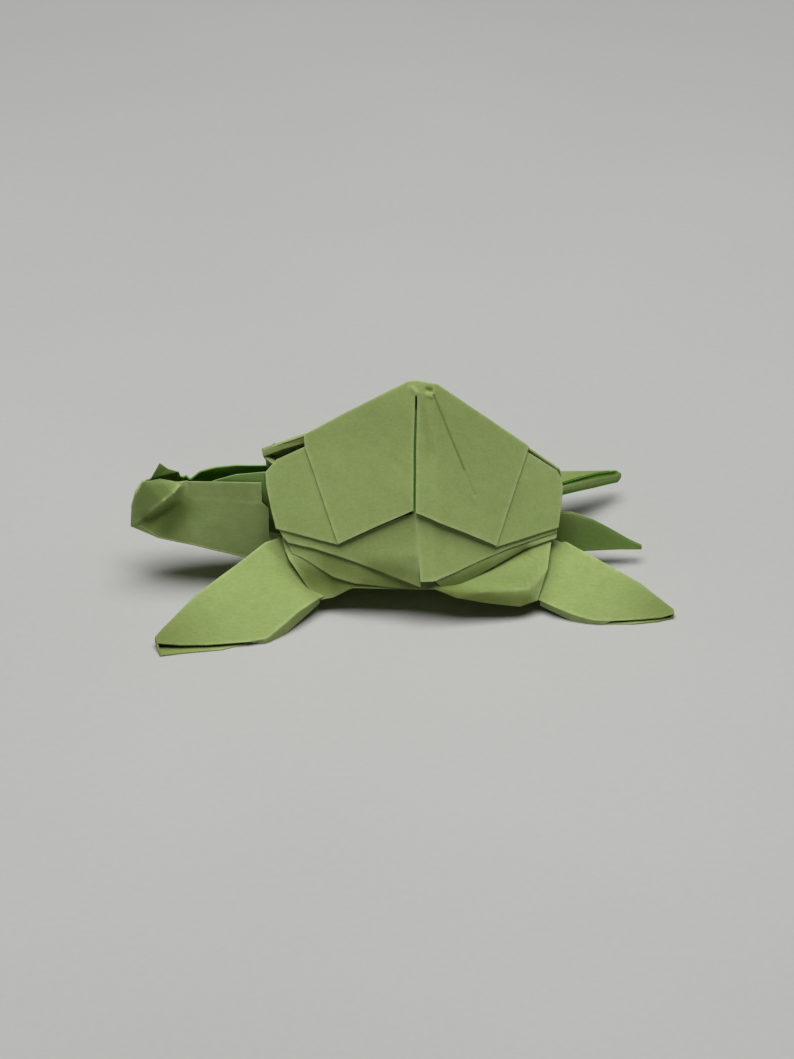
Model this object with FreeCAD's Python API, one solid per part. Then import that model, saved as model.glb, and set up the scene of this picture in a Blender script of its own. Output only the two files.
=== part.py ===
"""Origami turtle, folded from one square of paper.

The frame is in millimetres. The head points to -X, the tail to +X, and +Z is up. A fold point is
written (x, out, z): out is its distance from the centre line, so that one list serves both sides.
The near side lies at -Y and the far side at +Y.
"""
import FreeCAD, Part
import os

from FreeCAD import Matrix, Vector

# Paper. A layer is two or three folds of the sheet, pressed flat.
LAYER = 0.30
SEAT = 0.05                 # how far one pressed layer beds into the next
SLIT_WIDTH = 0.45           # the open pleat down each side of the shell
PLEAT_DEPTH = 1.20

# Shell: a four-sided roof whose slopes would meet at the peak. The real top is pressed blunt there.
PEAK_X = 0.45
PEAK_HEIGHT = 31.2
PEAK_BLUNT = 1.05
CREST_HALF_LENGTH = 2.1
SHELL_FRONT = 20.3          # shell ends, at the small panels
SHELL_REAR = 20.0
FRONT_RIDGE_HEIGHT = 19.6   # heights of the ridge at those ends
REAR_RIDGE_HEIGHT = 15.8
FRONT_PANEL_REACH = 16.2    # ridge ends of the large panels
REAR_PANEL_REACH = 15.7
PANEL_HEM_OUT = 10.3        # lower edge of the large panels
RIM_OUT = 15.6              # lower edge of the side walls
RIM_HEIGHT = 5.2
EAVES_HEIGHT = 7.8          # height of the roof's slopes above the rim
SEAM_HEIGHT = 1.7           # underside of the belly along its seam
SEAM_GAP = 0.30
PLEAT_X = -0.9              # the side pleats lie just ahead of the peak
LIP_LIFT = 1.25             # how far the far front panel stands off the roof's slope
FRONT_FALL = (PEAK_HEIGHT - FRONT_RIDGE_HEIGHT) / (SHELL_FRONT + PEAK_X)
REAR_FALL = (PEAK_HEIGHT - REAR_RIDGE_HEIGHT) / (SHELL_REAR - PEAK_X)
SIDE_FALL = (PEAK_HEIGHT - EAVES_HEIGHT) / RIM_OUT

# Limbs
FRONT_TIP_OUT = 20.3        # half the turtle's breadth, at the tips of its front flippers
FRONT_TIP = (-37.4, FRONT_TIP_OUT, 1.2)
FRONT_TOE = (-35.2, FRONT_TIP_OUT - 3.4, 3.3)
FRONT_HEEL = (-22.3, FRONT_TIP_OUT - 0.6, 0.9)
REAR_TIP = (-35.0, 14.7, 0.95)      # as if it pointed to the head
REAR_TOE = (-33.6, 13.2, 1.75)
REAR_HEEL = (-23.9, 16.5, 0.85)
RAISED_TIP = (31.3, 18.8, 3.7)
FLAP_HEIGHT = 1.15          # height of the fold that joins a flipper's two layers
FOOT_WIDTH = 3.0            # flat strip on which a flipper rests
FOOT_SPLAY = 1.2            # how far that strip shows beyond the flipper's outer edge
RAISED_GAPE = 0.9           # opening between the raised flipper's layers

# Neck, head and tail
SPINE_HALF_WIDTH = 1.0      # half the width of the strip under the neck
NECK_HALF_WIDTH = 3.0
NECK_TOP = 15.9
HEAD_FRONT = 40.5
HEAD_BACK = 32.3            # the pinch between head and neck
CHIN_HEIGHT = 8.0
HEAD_TOP = 16.1
EAR_HEIGHT = 17.5
TAIL_TIP = 32.0
TAIL_TIP_HEIGHT = 2.7
TAIL_ROOT_HEIGHT = 7.9

NODE = "folded_sheet"


def near(point):
    """The fold point (x, out, z) on the near side."""
    return Vector(point[0], -point[1], point[2])


def far(point):
    """The fold point (x, out, z) on the far side."""
    return Vector(*point)


def on_shell(x, out, depth=0.0):
    """Fold point on the shell, or at a depth square to its surface."""
    fall = FRONT_FALL if x < PEAK_X else REAR_FALL
    steepness = Vector(fall, SIDE_FALL, 1).Length
    return (x, out, PEAK_HEIGHT - fall * abs(x - PEAK_X) - SIDE_FALL * out - depth * steepness)


def key(point):
    """Name of a corner, the same for each facet that shares it."""
    return tuple(round(value, 4) for value in point)


def back_corner(point, normals, thickness):
    """Corner behind a fold point: as near as can be one thickness behind each facet that meets there."""
    softness = 1e-4
    total = Vector(*(sum(normal[axis] for normal in normals) for axis in range(3)))
    rows = [[sum(normal[i] * normal[j] for normal in normals) for j in range(3)] for i in range(3)]
    for axis in range(3):
        rows[axis][axis] += softness
    products = Matrix(*rows[0], 0, *rows[1], 0, *rows[2], 0, 0, 0, 0, 1)
    return point - thickness * products.inverse().multVec(total)


def folded(facets, thickness=LAYER):
    """Solid of a folded sheet.

    Each facet lists its corners anticlockwise as seen from outside. The sheet lies behind its facets,
    and is mitred where they share an edge.
    """
    triangles = [(facet[0], *pair) for facet in facets for pair in zip(facet[1:], facet[2:])]
    normals, directed, position = {}, {}, {}
    for triangle in triangles:
        normal = (triangle[1] - triangle[0]).cross(triangle[2] - triangle[0]).normalize()
        for start, end in zip(triangle, triangle[1:] + triangle[:1]):
            normals.setdefault(key(start), []).append(normal)
            position[key(start)] = start
            directed[key(start), key(end)] = True
    back = {name: back_corner(position[name], normals[name], thickness) for name in normals}
    polygons = [list(triangle) for triangle in triangles]
    polygons += [[back[key(corner)] for corner in reversed(triangle)] for triangle in triangles]
    for start, end in directed:
        if (end, start) not in directed:
            polygons.append([position[end], position[start], back[start]])
            polygons.append([position[end], back[start], back[end]])
    faces = [Part.Face(Part.makePolygon(corners + corners[:1])) for corners in polygons]
    shell = Part.Shell(faces)
    shell.sewShape()
    solid = Part.Solid(shell)
    if solid.Volume < 0:
        solid.reverse()
    return solid


def mirrored(solid):
    """The same fold on the other side of the centre line."""
    return solid.mirror(Vector(0, 0, 0), Vector(0, 1, 0))


def strip(lower, upper):
    """Facets between two edges with as many points, both listed from left to right."""
    return [[lower[i], lower[i + 1], upper[i + 1], upper[i]] for i in range(len(lower) - 1)]


def sunk(point, depth):
    """Fold point moved into the body, square to the slope of the shell's side."""
    scale = depth / Vector(0, SIDE_FALL, 1).Length
    return (point[0], point[1] - scale * SIDE_FALL, point[2] - scale)


def between(start, end, share):
    """Fold point at a share of the way from one to another."""
    return tuple(a + share * (b - a) for a, b in zip(start, end))


def roof_points():
    """Named corners of the large panels on one side."""
    return {
        "crest": (0, 0, PEAK_HEIGHT - PEAK_BLUNT),
        "crest front": on_shell(PEAK_X - CREST_HALF_LENGTH, 0),
        "crest rear": on_shell(PEAK_X + CREST_HALF_LENGTH, 0),
        "front end": on_shell(-FRONT_PANEL_REACH, 0),
        "rear end": on_shell(REAR_PANEL_REACH, 0),
        "front hem": on_shell(-0.72 * FRONT_PANEL_REACH, 0.95 * PANEL_HEM_OUT),
        "rear hem": on_shell(0.675 * REAR_PANEL_REACH, 0.95 * PANEL_HEM_OUT),
        "crease foot": on_shell(0.5 * REAR_PANEL_REACH, PANEL_HEM_OUT),
        "pleat top": on_shell(0.1 * PLEAT_X, 0.1 * PANEL_HEM_OUT),
        "pleat front": on_shell(PLEAT_X - SLIT_WIDTH / 2, PANEL_HEM_OUT),
        "pleat rear": on_shell(PLEAT_X + SLIT_WIDTH / 2, 1.015 * PANEL_HEM_OUT),
    }


def large_panels():
    """Roof of the shell: four large panels about the peak, open along the pleat of each side."""
    at = roof_points()
    facets = [
        [at["front hem"], at["pleat front"], at["pleat top"], at["crest front"], at["front end"]],
        [at["pleat top"], at["crest"], at["crest front"]],
        [at["pleat top"], at["pleat rear"], at["crease foot"], at["crest rear"], at["crest"]],
        [at["crease foot"], at["rear hem"], at["rear end"], at["crest rear"]],
    ]
    both = [[near(point) for point in facet] for facet in facets]
    both += [[far(point) for point in reversed(facet)] for facet in facets]
    return folded(both)


def side_pleat():
    """The folded-in channel behind the slit, which joins the front and rear panels of one side."""
    at = roof_points()
    seated = LAYER - SEAT
    front_foot = between(at["pleat top"], at["pleat front"], 0.95)
    rear_foot = between(at["pleat top"], at["pleat rear"], 0.95)
    front_head = between(at["pleat top"], at["pleat front"], 0.12)
    rear_head = between(at["pleat top"], at["pleat rear"], 0.12)

    def columns(front, rear, rim_share, wing_share):
        """Section of the channel, from the wing under the front panel to the one under the rear panel."""
        front_rim = between(front, at["front hem"], rim_share)
        rear_rim = between(rear, at["crease foot"], rim_share)
        return [
            sunk(between(front, at["front hem"], wing_share), seated),
            sunk(front_rim, seated),
            sunk(front_rim, PLEAT_DEPTH),
            sunk(rear_rim, PLEAT_DEPTH),
            sunk(rear_rim, seated),
            sunk(between(rear, at["crease foot"], wing_share), seated),
        ]

    lower = [near(point) for point in columns(front_foot, rear_foot, 0.0, 0.2)]
    upper = [near(point) for point in columns(front_head, rear_head, 0.03, 0.15)]
    return folded(strip(lower, upper))


def small_front_panel():
    """Small panel tucked under the large front one. Its upper edge stays clear of the ridge."""
    depth = LAYER - SEAT
    return [
        on_shell(-SHELL_FRONT + 0.2, 0.58 * PANEL_HEM_OUT, depth),
        on_shell(-0.72 * FRONT_PANEL_REACH, 0.95 * PANEL_HEM_OUT, depth),
        on_shell(-0.65 * FRONT_PANEL_REACH, 0.9 * PANEL_HEM_OUT, depth),
        on_shell(-FRONT_PANEL_REACH + 2.7, 0.95, depth),
        on_shell(-SHELL_FRONT - 0.3, 1.35, depth),
    ]


def small_rear_panel():
    """Small panel tucked under the large rear one."""
    depth = LAYER - SEAT
    return [
        on_shell(0.675 * REAR_PANEL_REACH, 0.95 * PANEL_HEM_OUT, depth),
        on_shell(SHELL_REAR - 0.3, 0.48 * PANEL_HEM_OUT, depth),
        on_shell(SHELL_REAR + 0.1, 0.3, depth),
        on_shell(REAR_PANEL_REACH - 2.5, 0.3, depth),
        on_shell(0.62 * REAR_PANEL_REACH, 0.9 * PANEL_HEM_OUT, depth),
    ]


def near_small_panels():
    """The two small panels of the near side."""
    return [folded([[near(point) for point in small_front_panel()]]),
            folded([[near(point) for point in small_rear_panel()]])]


def far_small_panels():
    """The two small panels of the far side. The front one springs up in a lip that hooks over the other."""
    corner, hem, inner_hem, inner_top, _ = (far(point) for point in small_front_panel())
    depth = LAYER - SEAT
    bend_inner = far(on_shell(-FRONT_PANEL_REACH + 2.9, 2.5, depth))
    bend_front = far(on_shell(-SHELL_FRONT - 0.6, 2.8, -0.2))
    lip_start = far(on_shell(-FRONT_PANEL_REACH + 0.1, 0.5, -0.2))
    lip_end = far(on_shell(-SHELL_FRONT - 1.6, 1.5, -LIP_LIFT))
    hook = far(on_shell(-SHELL_FRONT - 0.3, 0.2, 1.15))
    front = folded([
        [corner, bend_front, bend_inner, inner_hem, hem],
        [bend_front, lip_end, lip_start, inner_top, bend_inner],
        [bend_front, hook, lip_end],
    ])
    hem, corner, _, inner_top, inner_hem = (far(point) for point in small_rear_panel())
    ridge_rear = far(on_shell(SHELL_REAR + 0.1, 0.8, -0.5))
    ridge_front = far(on_shell(REAR_PANEL_REACH, 0.4, -0.4))
    rear = folded([[hem, inner_hem, inner_top, ridge_front, ridge_rear, corner]])
    return [front, rear]


def wall_layer(hidden, edge):
    """One layer of the near side wall, between a hidden upper edge and a lower edge with seven points."""
    hidden = [near(point) for point in hidden]
    edge = [near(point) for point in edge]
    facets = strip(edge[:3], hidden[:3])
    facets += [[edge[2], edge[3], hidden[2]], [edge[3], edge[4], hidden[2]]]
    facets += strip(edge[4:], hidden[2:])
    return folded(facets)


def upper_wall():
    """Outer layer of the side wall. It comes out from under the panels and ends in a folded edge."""
    under_small = 2 * LAYER - 2 * SEAT
    under_large = LAYER - SEAT
    hidden = [
        on_shell(-0.96 * SHELL_FRONT, 0.51 * PANEL_HEM_OUT, under_small),
        on_shell(-0.57 * SHELL_FRONT, 0.75 * PANEL_HEM_OUT, under_small),
        on_shell(PLEAT_X, 0.8 * PANEL_HEM_OUT, under_large),
        on_shell(0.49 * SHELL_REAR, 0.765 * PANEL_HEM_OUT, under_small),
        on_shell(0.96 * SHELL_REAR, 0.38 * PANEL_HEM_OUT, under_small),
    ]
    edge = [
        on_shell(-0.925 * SHELL_FRONT, 0.4525 * RIM_OUT, 2 * LAYER),
        on_shell(-0.52 * SHELL_FRONT, 0.7 * RIM_OUT, 2 * LAYER),
        (-0.145 * SHELL_FRONT, 0.946 * RIM_OUT, RIM_HEIGHT + 1.1),
        (0.5 * PLEAT_X, 1.01 * RIM_OUT, RIM_HEIGHT + 1.0),
        (0.117 * SHELL_REAR, 0.934 * RIM_OUT, RIM_HEIGHT + 1.3),
        on_shell(0.53 * SHELL_REAR, 0.63 * RIM_OUT, 2 * LAYER),
        on_shell(0.985 * SHELL_REAR, 0.31 * RIM_OUT, 2 * LAYER),
    ]
    return wall_layer(hidden, edge)


def middle_wall():
    """Second layer of the side wall: the pleats that show below the outer one."""
    tucked = 3 * LAYER - 2 * SEAT
    loose = 3.5 * LAYER
    hidden = [
        on_shell(-0.92 * SHELL_FRONT, 0.42 * RIM_OUT, tucked),
        on_shell(-0.56 * SHELL_FRONT, 0.6 * RIM_OUT, tucked),
        on_shell(PLEAT_X, 0.8 * RIM_OUT, tucked),
        on_shell(0.5 * SHELL_REAR, 0.56 * RIM_OUT, tucked),
        on_shell(0.945 * SHELL_REAR, 0.27 * RIM_OUT, tucked),
    ]
    edge = [
        on_shell(-0.872 * SHELL_FRONT, 0.517 * RIM_OUT, loose),
        on_shell(-0.557 * SHELL_FRONT, 0.765 * RIM_OUT, loose),
        (-0.32 * SHELL_FRONT, 0.89 * RIM_OUT, RIM_HEIGHT - 0.4),
        (0.5 * PLEAT_X, 0.995 * RIM_OUT, RIM_HEIGHT + 0.1),
        (0.16 * SHELL_REAR, 0.93 * RIM_OUT, RIM_HEIGHT),
        on_shell(0.456 * SHELL_REAR, 0.715 * RIM_OUT, loose),
        on_shell(0.965 * SHELL_REAR, 0.3 * RIM_OUT, loose),
    ]
    return wall_layer(hidden, edge)


def lower_wall():
    """Inner layer of the side wall, folded in at the rim to make one half of the belly."""
    tucked = 4 * LAYER
    hidden = [
        on_shell(-0.9 * SHELL_FRONT, 0.41 * RIM_OUT, tucked),
        on_shell(-0.53 * SHELL_FRONT, 0.65 * RIM_OUT, tucked),
        on_shell(PLEAT_X, 0.77 * RIM_OUT, tucked),
        on_shell(0.475 * SHELL_REAR, 0.6 * RIM_OUT, tucked),
        on_shell(0.94 * SHELL_REAR, 0.27 * RIM_OUT, tucked),
    ]
    rim = [
        (-0.95 * SHELL_FRONT, 0.4 * RIM_OUT, RIM_HEIGHT - 1.2),
        (-0.705 * SHELL_FRONT, 0.783 * RIM_OUT, RIM_HEIGHT - 3.3),
        (-0.49 * SHELL_FRONT, 0.79 * RIM_OUT, RIM_HEIGHT - 1.2),
        (0.5 * PLEAT_X, 0.96 * RIM_OUT, RIM_HEIGHT - 0.3),
        (0.2 * SHELL_REAR, 1.005 * RIM_OUT, RIM_HEIGHT - 1.15),
        (0.41 * SHELL_REAR, 1.005 * RIM_OUT, RIM_HEIGHT - 1.6),
        (0.69 * SHELL_REAR, 0.975 * RIM_OUT, RIM_HEIGHT - 3.3),
        (0.81 * SHELL_REAR, 0.875 * RIM_OUT, RIM_HEIGHT - 2.7),
        (0.965 * SHELL_REAR, 0.36 * RIM_OUT, RIM_HEIGHT - 1.6),
    ]
    seam = [(x, SEAM_GAP / 2, SEAM_HEIGHT) for x in (-0.94 * SHELL_FRONT, 0, 0.93 * SHELL_REAR)]
    hidden = [near(point) for point in hidden]
    rim = [near(point) for point in rim]
    seam = [near(point) for point in seam]
    facets = [
        [rim[0], rim[1], hidden[0]],
        [rim[1], rim[2], hidden[1], hidden[0]],
        [rim[2], rim[3], hidden[2], hidden[1]],
        [rim[3], rim[4], hidden[2]],
        [rim[4], rim[5], rim[6], hidden[3], hidden[2]],
        [rim[6], rim[7], hidden[3]],
        [rim[7], rim[8], hidden[4], hidden[3]],
        [seam[0], rim[1], rim[0]],
        [seam[0], seam[1], rim[2], rim[1]],
        [seam[1], rim[3], rim[2]],
        [seam[1], rim[4], rim[3]],
        [seam[1], rim[5], rim[4]],
        [seam[1], rim[6], rim[5]],
        [seam[1], seam[2], rim[7], rim[6]],
        [seam[2], rim[8], rim[7]],
    ]
    return folded(facets)


def flipper(tip, heel, root_heel, root_front, toe, inward):
    """Folded flap that points to -X, open along its outer edge, with a flat strip on the ground.

    The front edge runs from the root over the toe to the tip. The root goes inward, into the body.
    """
    tip, heel, back, front, toe = (near(point) for point in (tip, heel, root_heel, root_front, toe))
    drop = Vector(0, 0, FLAP_HEIGHT)
    upward = (heel - tip).cross(front - tip).normalize()
    step = inward * upward.cross(back - front).normalize()
    taper = 0.15 * (back - front)
    front_in, back_in = front + step + taper, back + step - taper
    splay = Vector(0, -FOOT_SPLAY, 0)
    foot_tip = Vector(tip.x, tip.y, 0) + splay
    foot_middle = Vector(*(0.7 * tip + 0.3 * heel)[:2], 0) + splay
    foot_heel = Vector(heel.x - 1.0, heel.y + 0.3, 0)
    foot_inner = Vector(heel.x + 0.4, heel.y + 0.45 * FOOT_WIDTH, 0)
    foot_toe = Vector(toe.x, tip.y + FOOT_WIDTH - 0.2, 0)
    return folded([
        [tip, heel, back, back_in, front_in, front, toe],
        [foot_heel, foot_inner, back - drop, back, heel],
        [front, front - drop, foot_toe, toe],
        [toe, foot_toe, foot_tip, tip],
        [foot_tip, foot_toe, foot_inner, foot_heel, foot_middle],
        [foot_toe, front - drop, front_in - drop, back_in - drop, back - drop, foot_inner],
    ])


def front_flipper():
    """Near front flipper."""
    root_front = on_shell(-SHELL_FRONT - 0.4, 0.417 * RIM_OUT, 0.17)
    root_heel = (-0.717 * SHELL_FRONT, 0.846 * RIM_OUT, RIM_HEIGHT - 1.9)
    return flipper(FRONT_TIP, FRONT_HEEL, root_heel, root_front, FRONT_TOE, 2.2)


def rear_flipper():
    """Near rear flipper, made facing the other way and turned about."""
    x, out, z = on_shell(SHELL_REAR - 0.1, 0.385 * RIM_OUT, -0.45)
    root_front = (-x, out, z)
    root_heel = (-0.81 * SHELL_REAR, 0.878 * RIM_OUT, RIM_HEIGHT - 2.6)
    facing_back = flipper(REAR_TIP, REAR_HEEL, root_heel, root_front, REAR_TOE, 1.8)
    return facing_back.mirror(Vector(0, 0, 0), Vector(1, 0, 0))


def raised_flipper():
    """Far rear flipper: a narrow pod that stands clear of the ground and gapes towards the tail."""
    upper_edge = [far(point) for point in ((17.6, 5.6, 8.0), (22.0, 11.8, 6.3), (27.5, 16.0, 5.7), RAISED_TIP)]
    outer_edge = [far(point) for point in ((15.0, 12.6, 3.6), (22.4, 16.5, 6.0), (28.4, 18.6, 4.9), RAISED_TIP)]
    gape = Vector(0, 0, RAISED_GAPE)
    lower_edge = [point - gape for point in upper_edge[:1]]
    lower_edge += [upper_edge[1] - Vector(0, 0.5, 1.0), upper_edge[2] - Vector(0, 0.6, 1.8)]
    tip_low = upper_edge[3] - gape
    outer_low = [point - gape for point in outer_edge[:3]]
    return folded([
        [upper_edge[0], upper_edge[1], outer_edge[1], outer_edge[0]],
        [upper_edge[1], upper_edge[2], outer_edge[2], outer_edge[1]],
        [upper_edge[2], upper_edge[3], outer_edge[2]],
        [outer_edge[0], outer_edge[1], outer_low[1], outer_low[0]],
        [outer_edge[1], outer_edge[2], outer_low[2], outer_low[1]],
        [outer_edge[2], outer_edge[3], tip_low, outer_low[2]],
        [outer_low[0], outer_low[1], lower_edge[1], lower_edge[0]],
        [outer_low[1], outer_low[2], lower_edge[2], lower_edge[1]],
        [outer_low[2], tip_low, lower_edge[2]],
    ])


def head_and_neck():
    """Upright strip folded up on both sides of the spine, pinched behind the head.

    The near wall stops short of the shell. The far wall, which is taller and leans over, runs on into it.
    """
    w = SPINE_HALF_WIDTH
    side = NECK_HALF_WIDTH
    floor = [(-SHELL_FRONT + 2.0, w, SEAM_HEIGHT - 0.1), (-SHELL_FRONT - 4.6, w, CHIN_HEIGHT - 5.1),
             (-HEAD_BACK + 0.8, w, CHIN_HEIGHT - 2.9), (-HEAD_FRONT + 3.6, 0.8 * w, CHIN_HEIGHT - 1.6),
             (-HEAD_FRONT + 0.3, 0.4 * w, CHIN_HEIGHT)]
    front = [floor[4], (-HEAD_FRONT, 0.4 * w, CHIN_HEIGHT + 2.7), (-HEAD_FRONT + 0.2, 0.6 * w, CHIN_HEIGHT + 4.8),
             (-HEAD_FRONT + 0.9, w, HEAD_TOP - 1.9)]
    near_end = -SHELL_FRONT - 1.8
    far_end = -SHELL_FRONT + 2.8
    pinch = (-HEAD_BACK - 0.2, 1.2 * w, NECK_TOP - 0.75)
    fold_top = (-HEAD_BACK - 0.8, 0.73 * side, NECK_TOP - 1.15)
    fold_middle = (-HEAD_FRONT + 3.8, 1.07 * side, CHIN_HEIGHT + 4.5)
    crease = [(-HEAD_BACK + 0.1, 0.93 * side, NECK_TOP - 2.4), (near_end, side, NECK_TOP - 3.1)]
    low_end = (near_end + 0.7, 0.8 * side, CHIN_HEIGHT - 1.0)
    neck_top = [(-HEAD_BACK + 0.2, 1.6 * w, NECK_TOP - 0.4), (near_end, 0.83 * side, NECK_TOP)]
    near_crown = [(-HEAD_BACK - 2.6, 1.8 * w, HEAD_TOP + 0.25), (-HEAD_FRONT + 1.7, 1.4 * w, HEAD_TOP - 0.2)]
    leaf = [(-HEAD_BACK + 0.2, 0.4, NECK_TOP - 0.7), (-HEAD_BACK + 2.1, 0.6, NECK_TOP + 0.95),
            (near_end + 0.1, 0.8, NECK_TOP + 1.4), (far_end, 0.8, NECK_TOP + 0.9)]
    far_crown = [(-HEAD_BACK - 1.6, w, EAR_HEIGHT - 1.6), (-HEAD_FRONT + 4.2, w, EAR_HEIGHT),
                 (-HEAD_FRONT + 2.2, w, HEAD_TOP - 1.3)]
    inside = [(far_end, side, NECK_TOP - 4.0), (far_end, 0.8 * side, CHIN_HEIGHT - 2.0)]

    shared = [
        [floor[3], floor[2], crease[0], fold_top, fold_middle],
        [floor[4], floor[3], fold_middle],
        [floor[2], floor[1], low_end, crease[1], crease[0]],
        [floor[1], floor[0], low_end],
    ]
    near_only = [
        [crease[0], crease[1], neck_top[1], neck_top[0]],
        [crease[0], neck_top[0], pinch, fold_top],
        [fold_middle, fold_top, pinch, *near_crown, front[3], front[2], front[1], front[0]],
    ]
    far_only = [
        [crease[0], crease[1], leaf[2], leaf[1], leaf[0]],
        [crease[0], leaf[0], pinch, fold_top],
        [fold_middle, fold_top, pinch, *far_crown, front[3], front[2], front[1], front[0]],
        [crease[1], inside[0], leaf[3], leaf[2]],
        [low_end, inside[1], inside[0], crease[1]],
        [floor[0], inside[1], low_end],
    ]
    facets = [[near(point) for point in facet] for facet in shared + near_only]
    facets += [[far(point) for point in reversed(facet)] for facet in shared + far_only]
    facets += strip([far(point) for point in floor[::-1]], [near(point) for point in floor[::-1]])
    facets += [[far(low), near(low), near(high), far(high)] for low, high in zip(front, front[1:])]
    return folded(facets)


def tail():
    """Narrow triangle folded along its lower edge and open along the top."""
    half = 0.45
    spread = 0.75
    floor = [(0.85 * SHELL_REAR, half, SEAM_HEIGHT - 0.15), (SHELL_REAR + 3.7, half, SEAM_HEIGHT + 0.3),
             (TAIL_TIP - 0.1, half, TAIL_TIP_HEIGHT - 0.75)]
    top = [(0.85 * SHELL_REAR, spread, TAIL_ROOT_HEIGHT), (SHELL_REAR + 2.3, spread, TAIL_ROOT_HEIGHT - 0.15),
           (TAIL_TIP - 3.8, 0.55, TAIL_TIP_HEIGHT + 2.2), (TAIL_TIP, half, TAIL_TIP_HEIGHT)]
    wall = [[floor[0], floor[1], top[1], top[0]], [floor[1], floor[2], top[3], top[2], top[1]]]
    facets = [[near(point) for point in facet] for facet in wall]
    facets += [[far(point) for point in reversed(facet)] for facet in wall]
    near_floor = [near(point) for point in floor]
    far_floor = [far(point) for point in floor]
    facets += strip(far_floor, near_floor)
    return folded(facets)


def turtle():
    """The whole folded sheet as one solid, with its origin on the ground under the middle of its box."""
    layers = [side_pleat(), upper_wall(), middle_wall(), lower_wall(), front_flipper()]
    layers += [mirrored(solid) for solid in layers]
    layers += near_small_panels() + far_small_panels()
    layers += [rear_flipper(), raised_flipper(), head_and_neck(), tail()]
    sheet = large_panels().multiFuse(layers).removeSplitter()
    box = sheet.BoundBox
    sheet.translate(Vector(-box.Center.x, -box.Center.y, -box.ZMin))
    return sheet


if __name__ == "__main__":
    os.makedirs("parts", exist_ok=True)
    turtle().exportStep("parts/" + NODE + ".step")
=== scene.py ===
"""Dresses the folded paper turtle: leaves of paper with rounded folds, a pale floor, soft light.

Lengths in this file are millimetres in the folder's frame, unless a comment says metres: x runs from
the head (-) to the tail (+), out is the distance from the centre line, positive on the near side, and z
is the height over the table.
"""
import logging
import math
from dataclasses import dataclass, field
from enum import Enum

import bmesh
import bpy
import numpy as np
from mathutils import Matrix, Vector, noise


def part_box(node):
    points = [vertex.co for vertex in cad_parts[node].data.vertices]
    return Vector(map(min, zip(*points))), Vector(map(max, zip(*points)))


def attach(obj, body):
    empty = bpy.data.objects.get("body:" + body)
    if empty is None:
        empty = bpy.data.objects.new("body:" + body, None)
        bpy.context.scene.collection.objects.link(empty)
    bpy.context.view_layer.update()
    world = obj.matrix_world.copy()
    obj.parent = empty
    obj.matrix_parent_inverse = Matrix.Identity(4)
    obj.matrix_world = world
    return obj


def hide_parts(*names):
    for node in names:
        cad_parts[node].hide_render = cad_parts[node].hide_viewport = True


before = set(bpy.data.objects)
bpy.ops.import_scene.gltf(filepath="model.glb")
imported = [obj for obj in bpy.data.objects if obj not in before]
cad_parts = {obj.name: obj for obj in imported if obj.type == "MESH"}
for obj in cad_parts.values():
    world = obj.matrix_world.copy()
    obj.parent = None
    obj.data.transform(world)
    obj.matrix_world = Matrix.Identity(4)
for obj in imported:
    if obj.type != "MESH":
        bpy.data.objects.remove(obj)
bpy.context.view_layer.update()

MM = 0.001
NODE = "folded_sheet"
BODY = "root"
HEAD_REACH = 40.5                   # from the folder's origin to the front of the head
SHARED_CORNER = 3                   # decimals at which two corners count as one
FLAT_ANGLE = math.radians(1.2)      # facets that meet at less than this are one facet
FOLD_ANGLE = math.radians(14)       # a bend between facets is rounded as a fold above this
SQUARE_ANGLE = math.radians(30)     # a fold is rounded if it meets the open edges at more than this
RUBBED_ANGLE = math.radians(30)     # hands rub the outer folds that are sharper than this
SLACK_ANGLE = math.radians(24)      # a bend slackens below this
RIM_ANGLE = math.radians(48)        # an edge of the thick leaf is rounded above this
ROUND_SEGMENTS = 3                  # steps across a rounded fold or edge
CUT_TOLERANCE = 1e-4                # a cut that passes nearer to a vertex goes through it
NO_LENGTH = 1e-12                   # stands in for a length of zero in a division
RUB_WIDTH = 0.32                    # reach of the wear beside a fold
FACING_SLOPE = 3                    # how fast a one-sided shade fades as the surface turns away
FACING_START = 0.5                  # its strength on a surface square to the side that it is for
CRUMPLE_WAVES = ((9.0, 1.0), (3.6, 0.34), (1.5, 0.10))      # each one's length, and share of the height
CRUMPLE_START = Vector((7.3, 1.9, 4.4))                     # where in the noise the waves are read
CRUMPLE_SEED = 11                   # keeps the waves the same in every run

Point = tuple[float, float, float]
Line = list[Point] | tuple[Point, ...]
Colour = tuple[float, float, float, float]
log = logging.getLogger("turtle")


class Side(Enum):
    """Side of the centre line on which a leaf lies."""

    NEAR = 1
    FAR = -1

    def label(self, piece: str) -> str:
        """Name of the piece on this side."""
        return f"{piece}_{self.name.lower()}"


class Grid(Enum):
    """Directions in which a leaf is divided into cells before it is pressed into shape."""

    UPRIGHT = (Vector((1, 0, 0)), Vector((0, 0, 1)))
    SLOPING = (Vector((1, 0, 0)), Vector((0, -0.5, 0.87)))
    FLAT = (Vector((1, 0, 0)), Vector((0, 1, 0)))


def spot(point: Point) -> Vector:
    """Place of a fold point, in millimetres with y to the far side."""
    return Vector((point[0], -point[1], point[2]))


def corner_name(point: Point) -> Point:
    """The point rounded, so that facets which share a corner find the same vertex."""
    return tuple(round(value, SHARED_CORNER) for value in point)


def strip(lower: Line, upper: Line) -> list[list[Point]]:
    """Facets between two lines with as many points, both listed from head to tail."""
    return [[lower[i], lower[i + 1], upper[i + 1], upper[i]] for i in range(len(lower) - 1)]


def moved(line: Line, along: float = 0.0, out: float = 0.0, up: float = 0.0) -> list[Point]:
    """The line shifted, and kept from sinking below the table."""
    return [(x + along, y + out, max(z + up, 0.0)) for x, y, z in line]


def mirrored(line: Line) -> list[Point]:
    """The line on the other side of the centre line."""
    return [(x, -out, z) for x, out, z in line]


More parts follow.
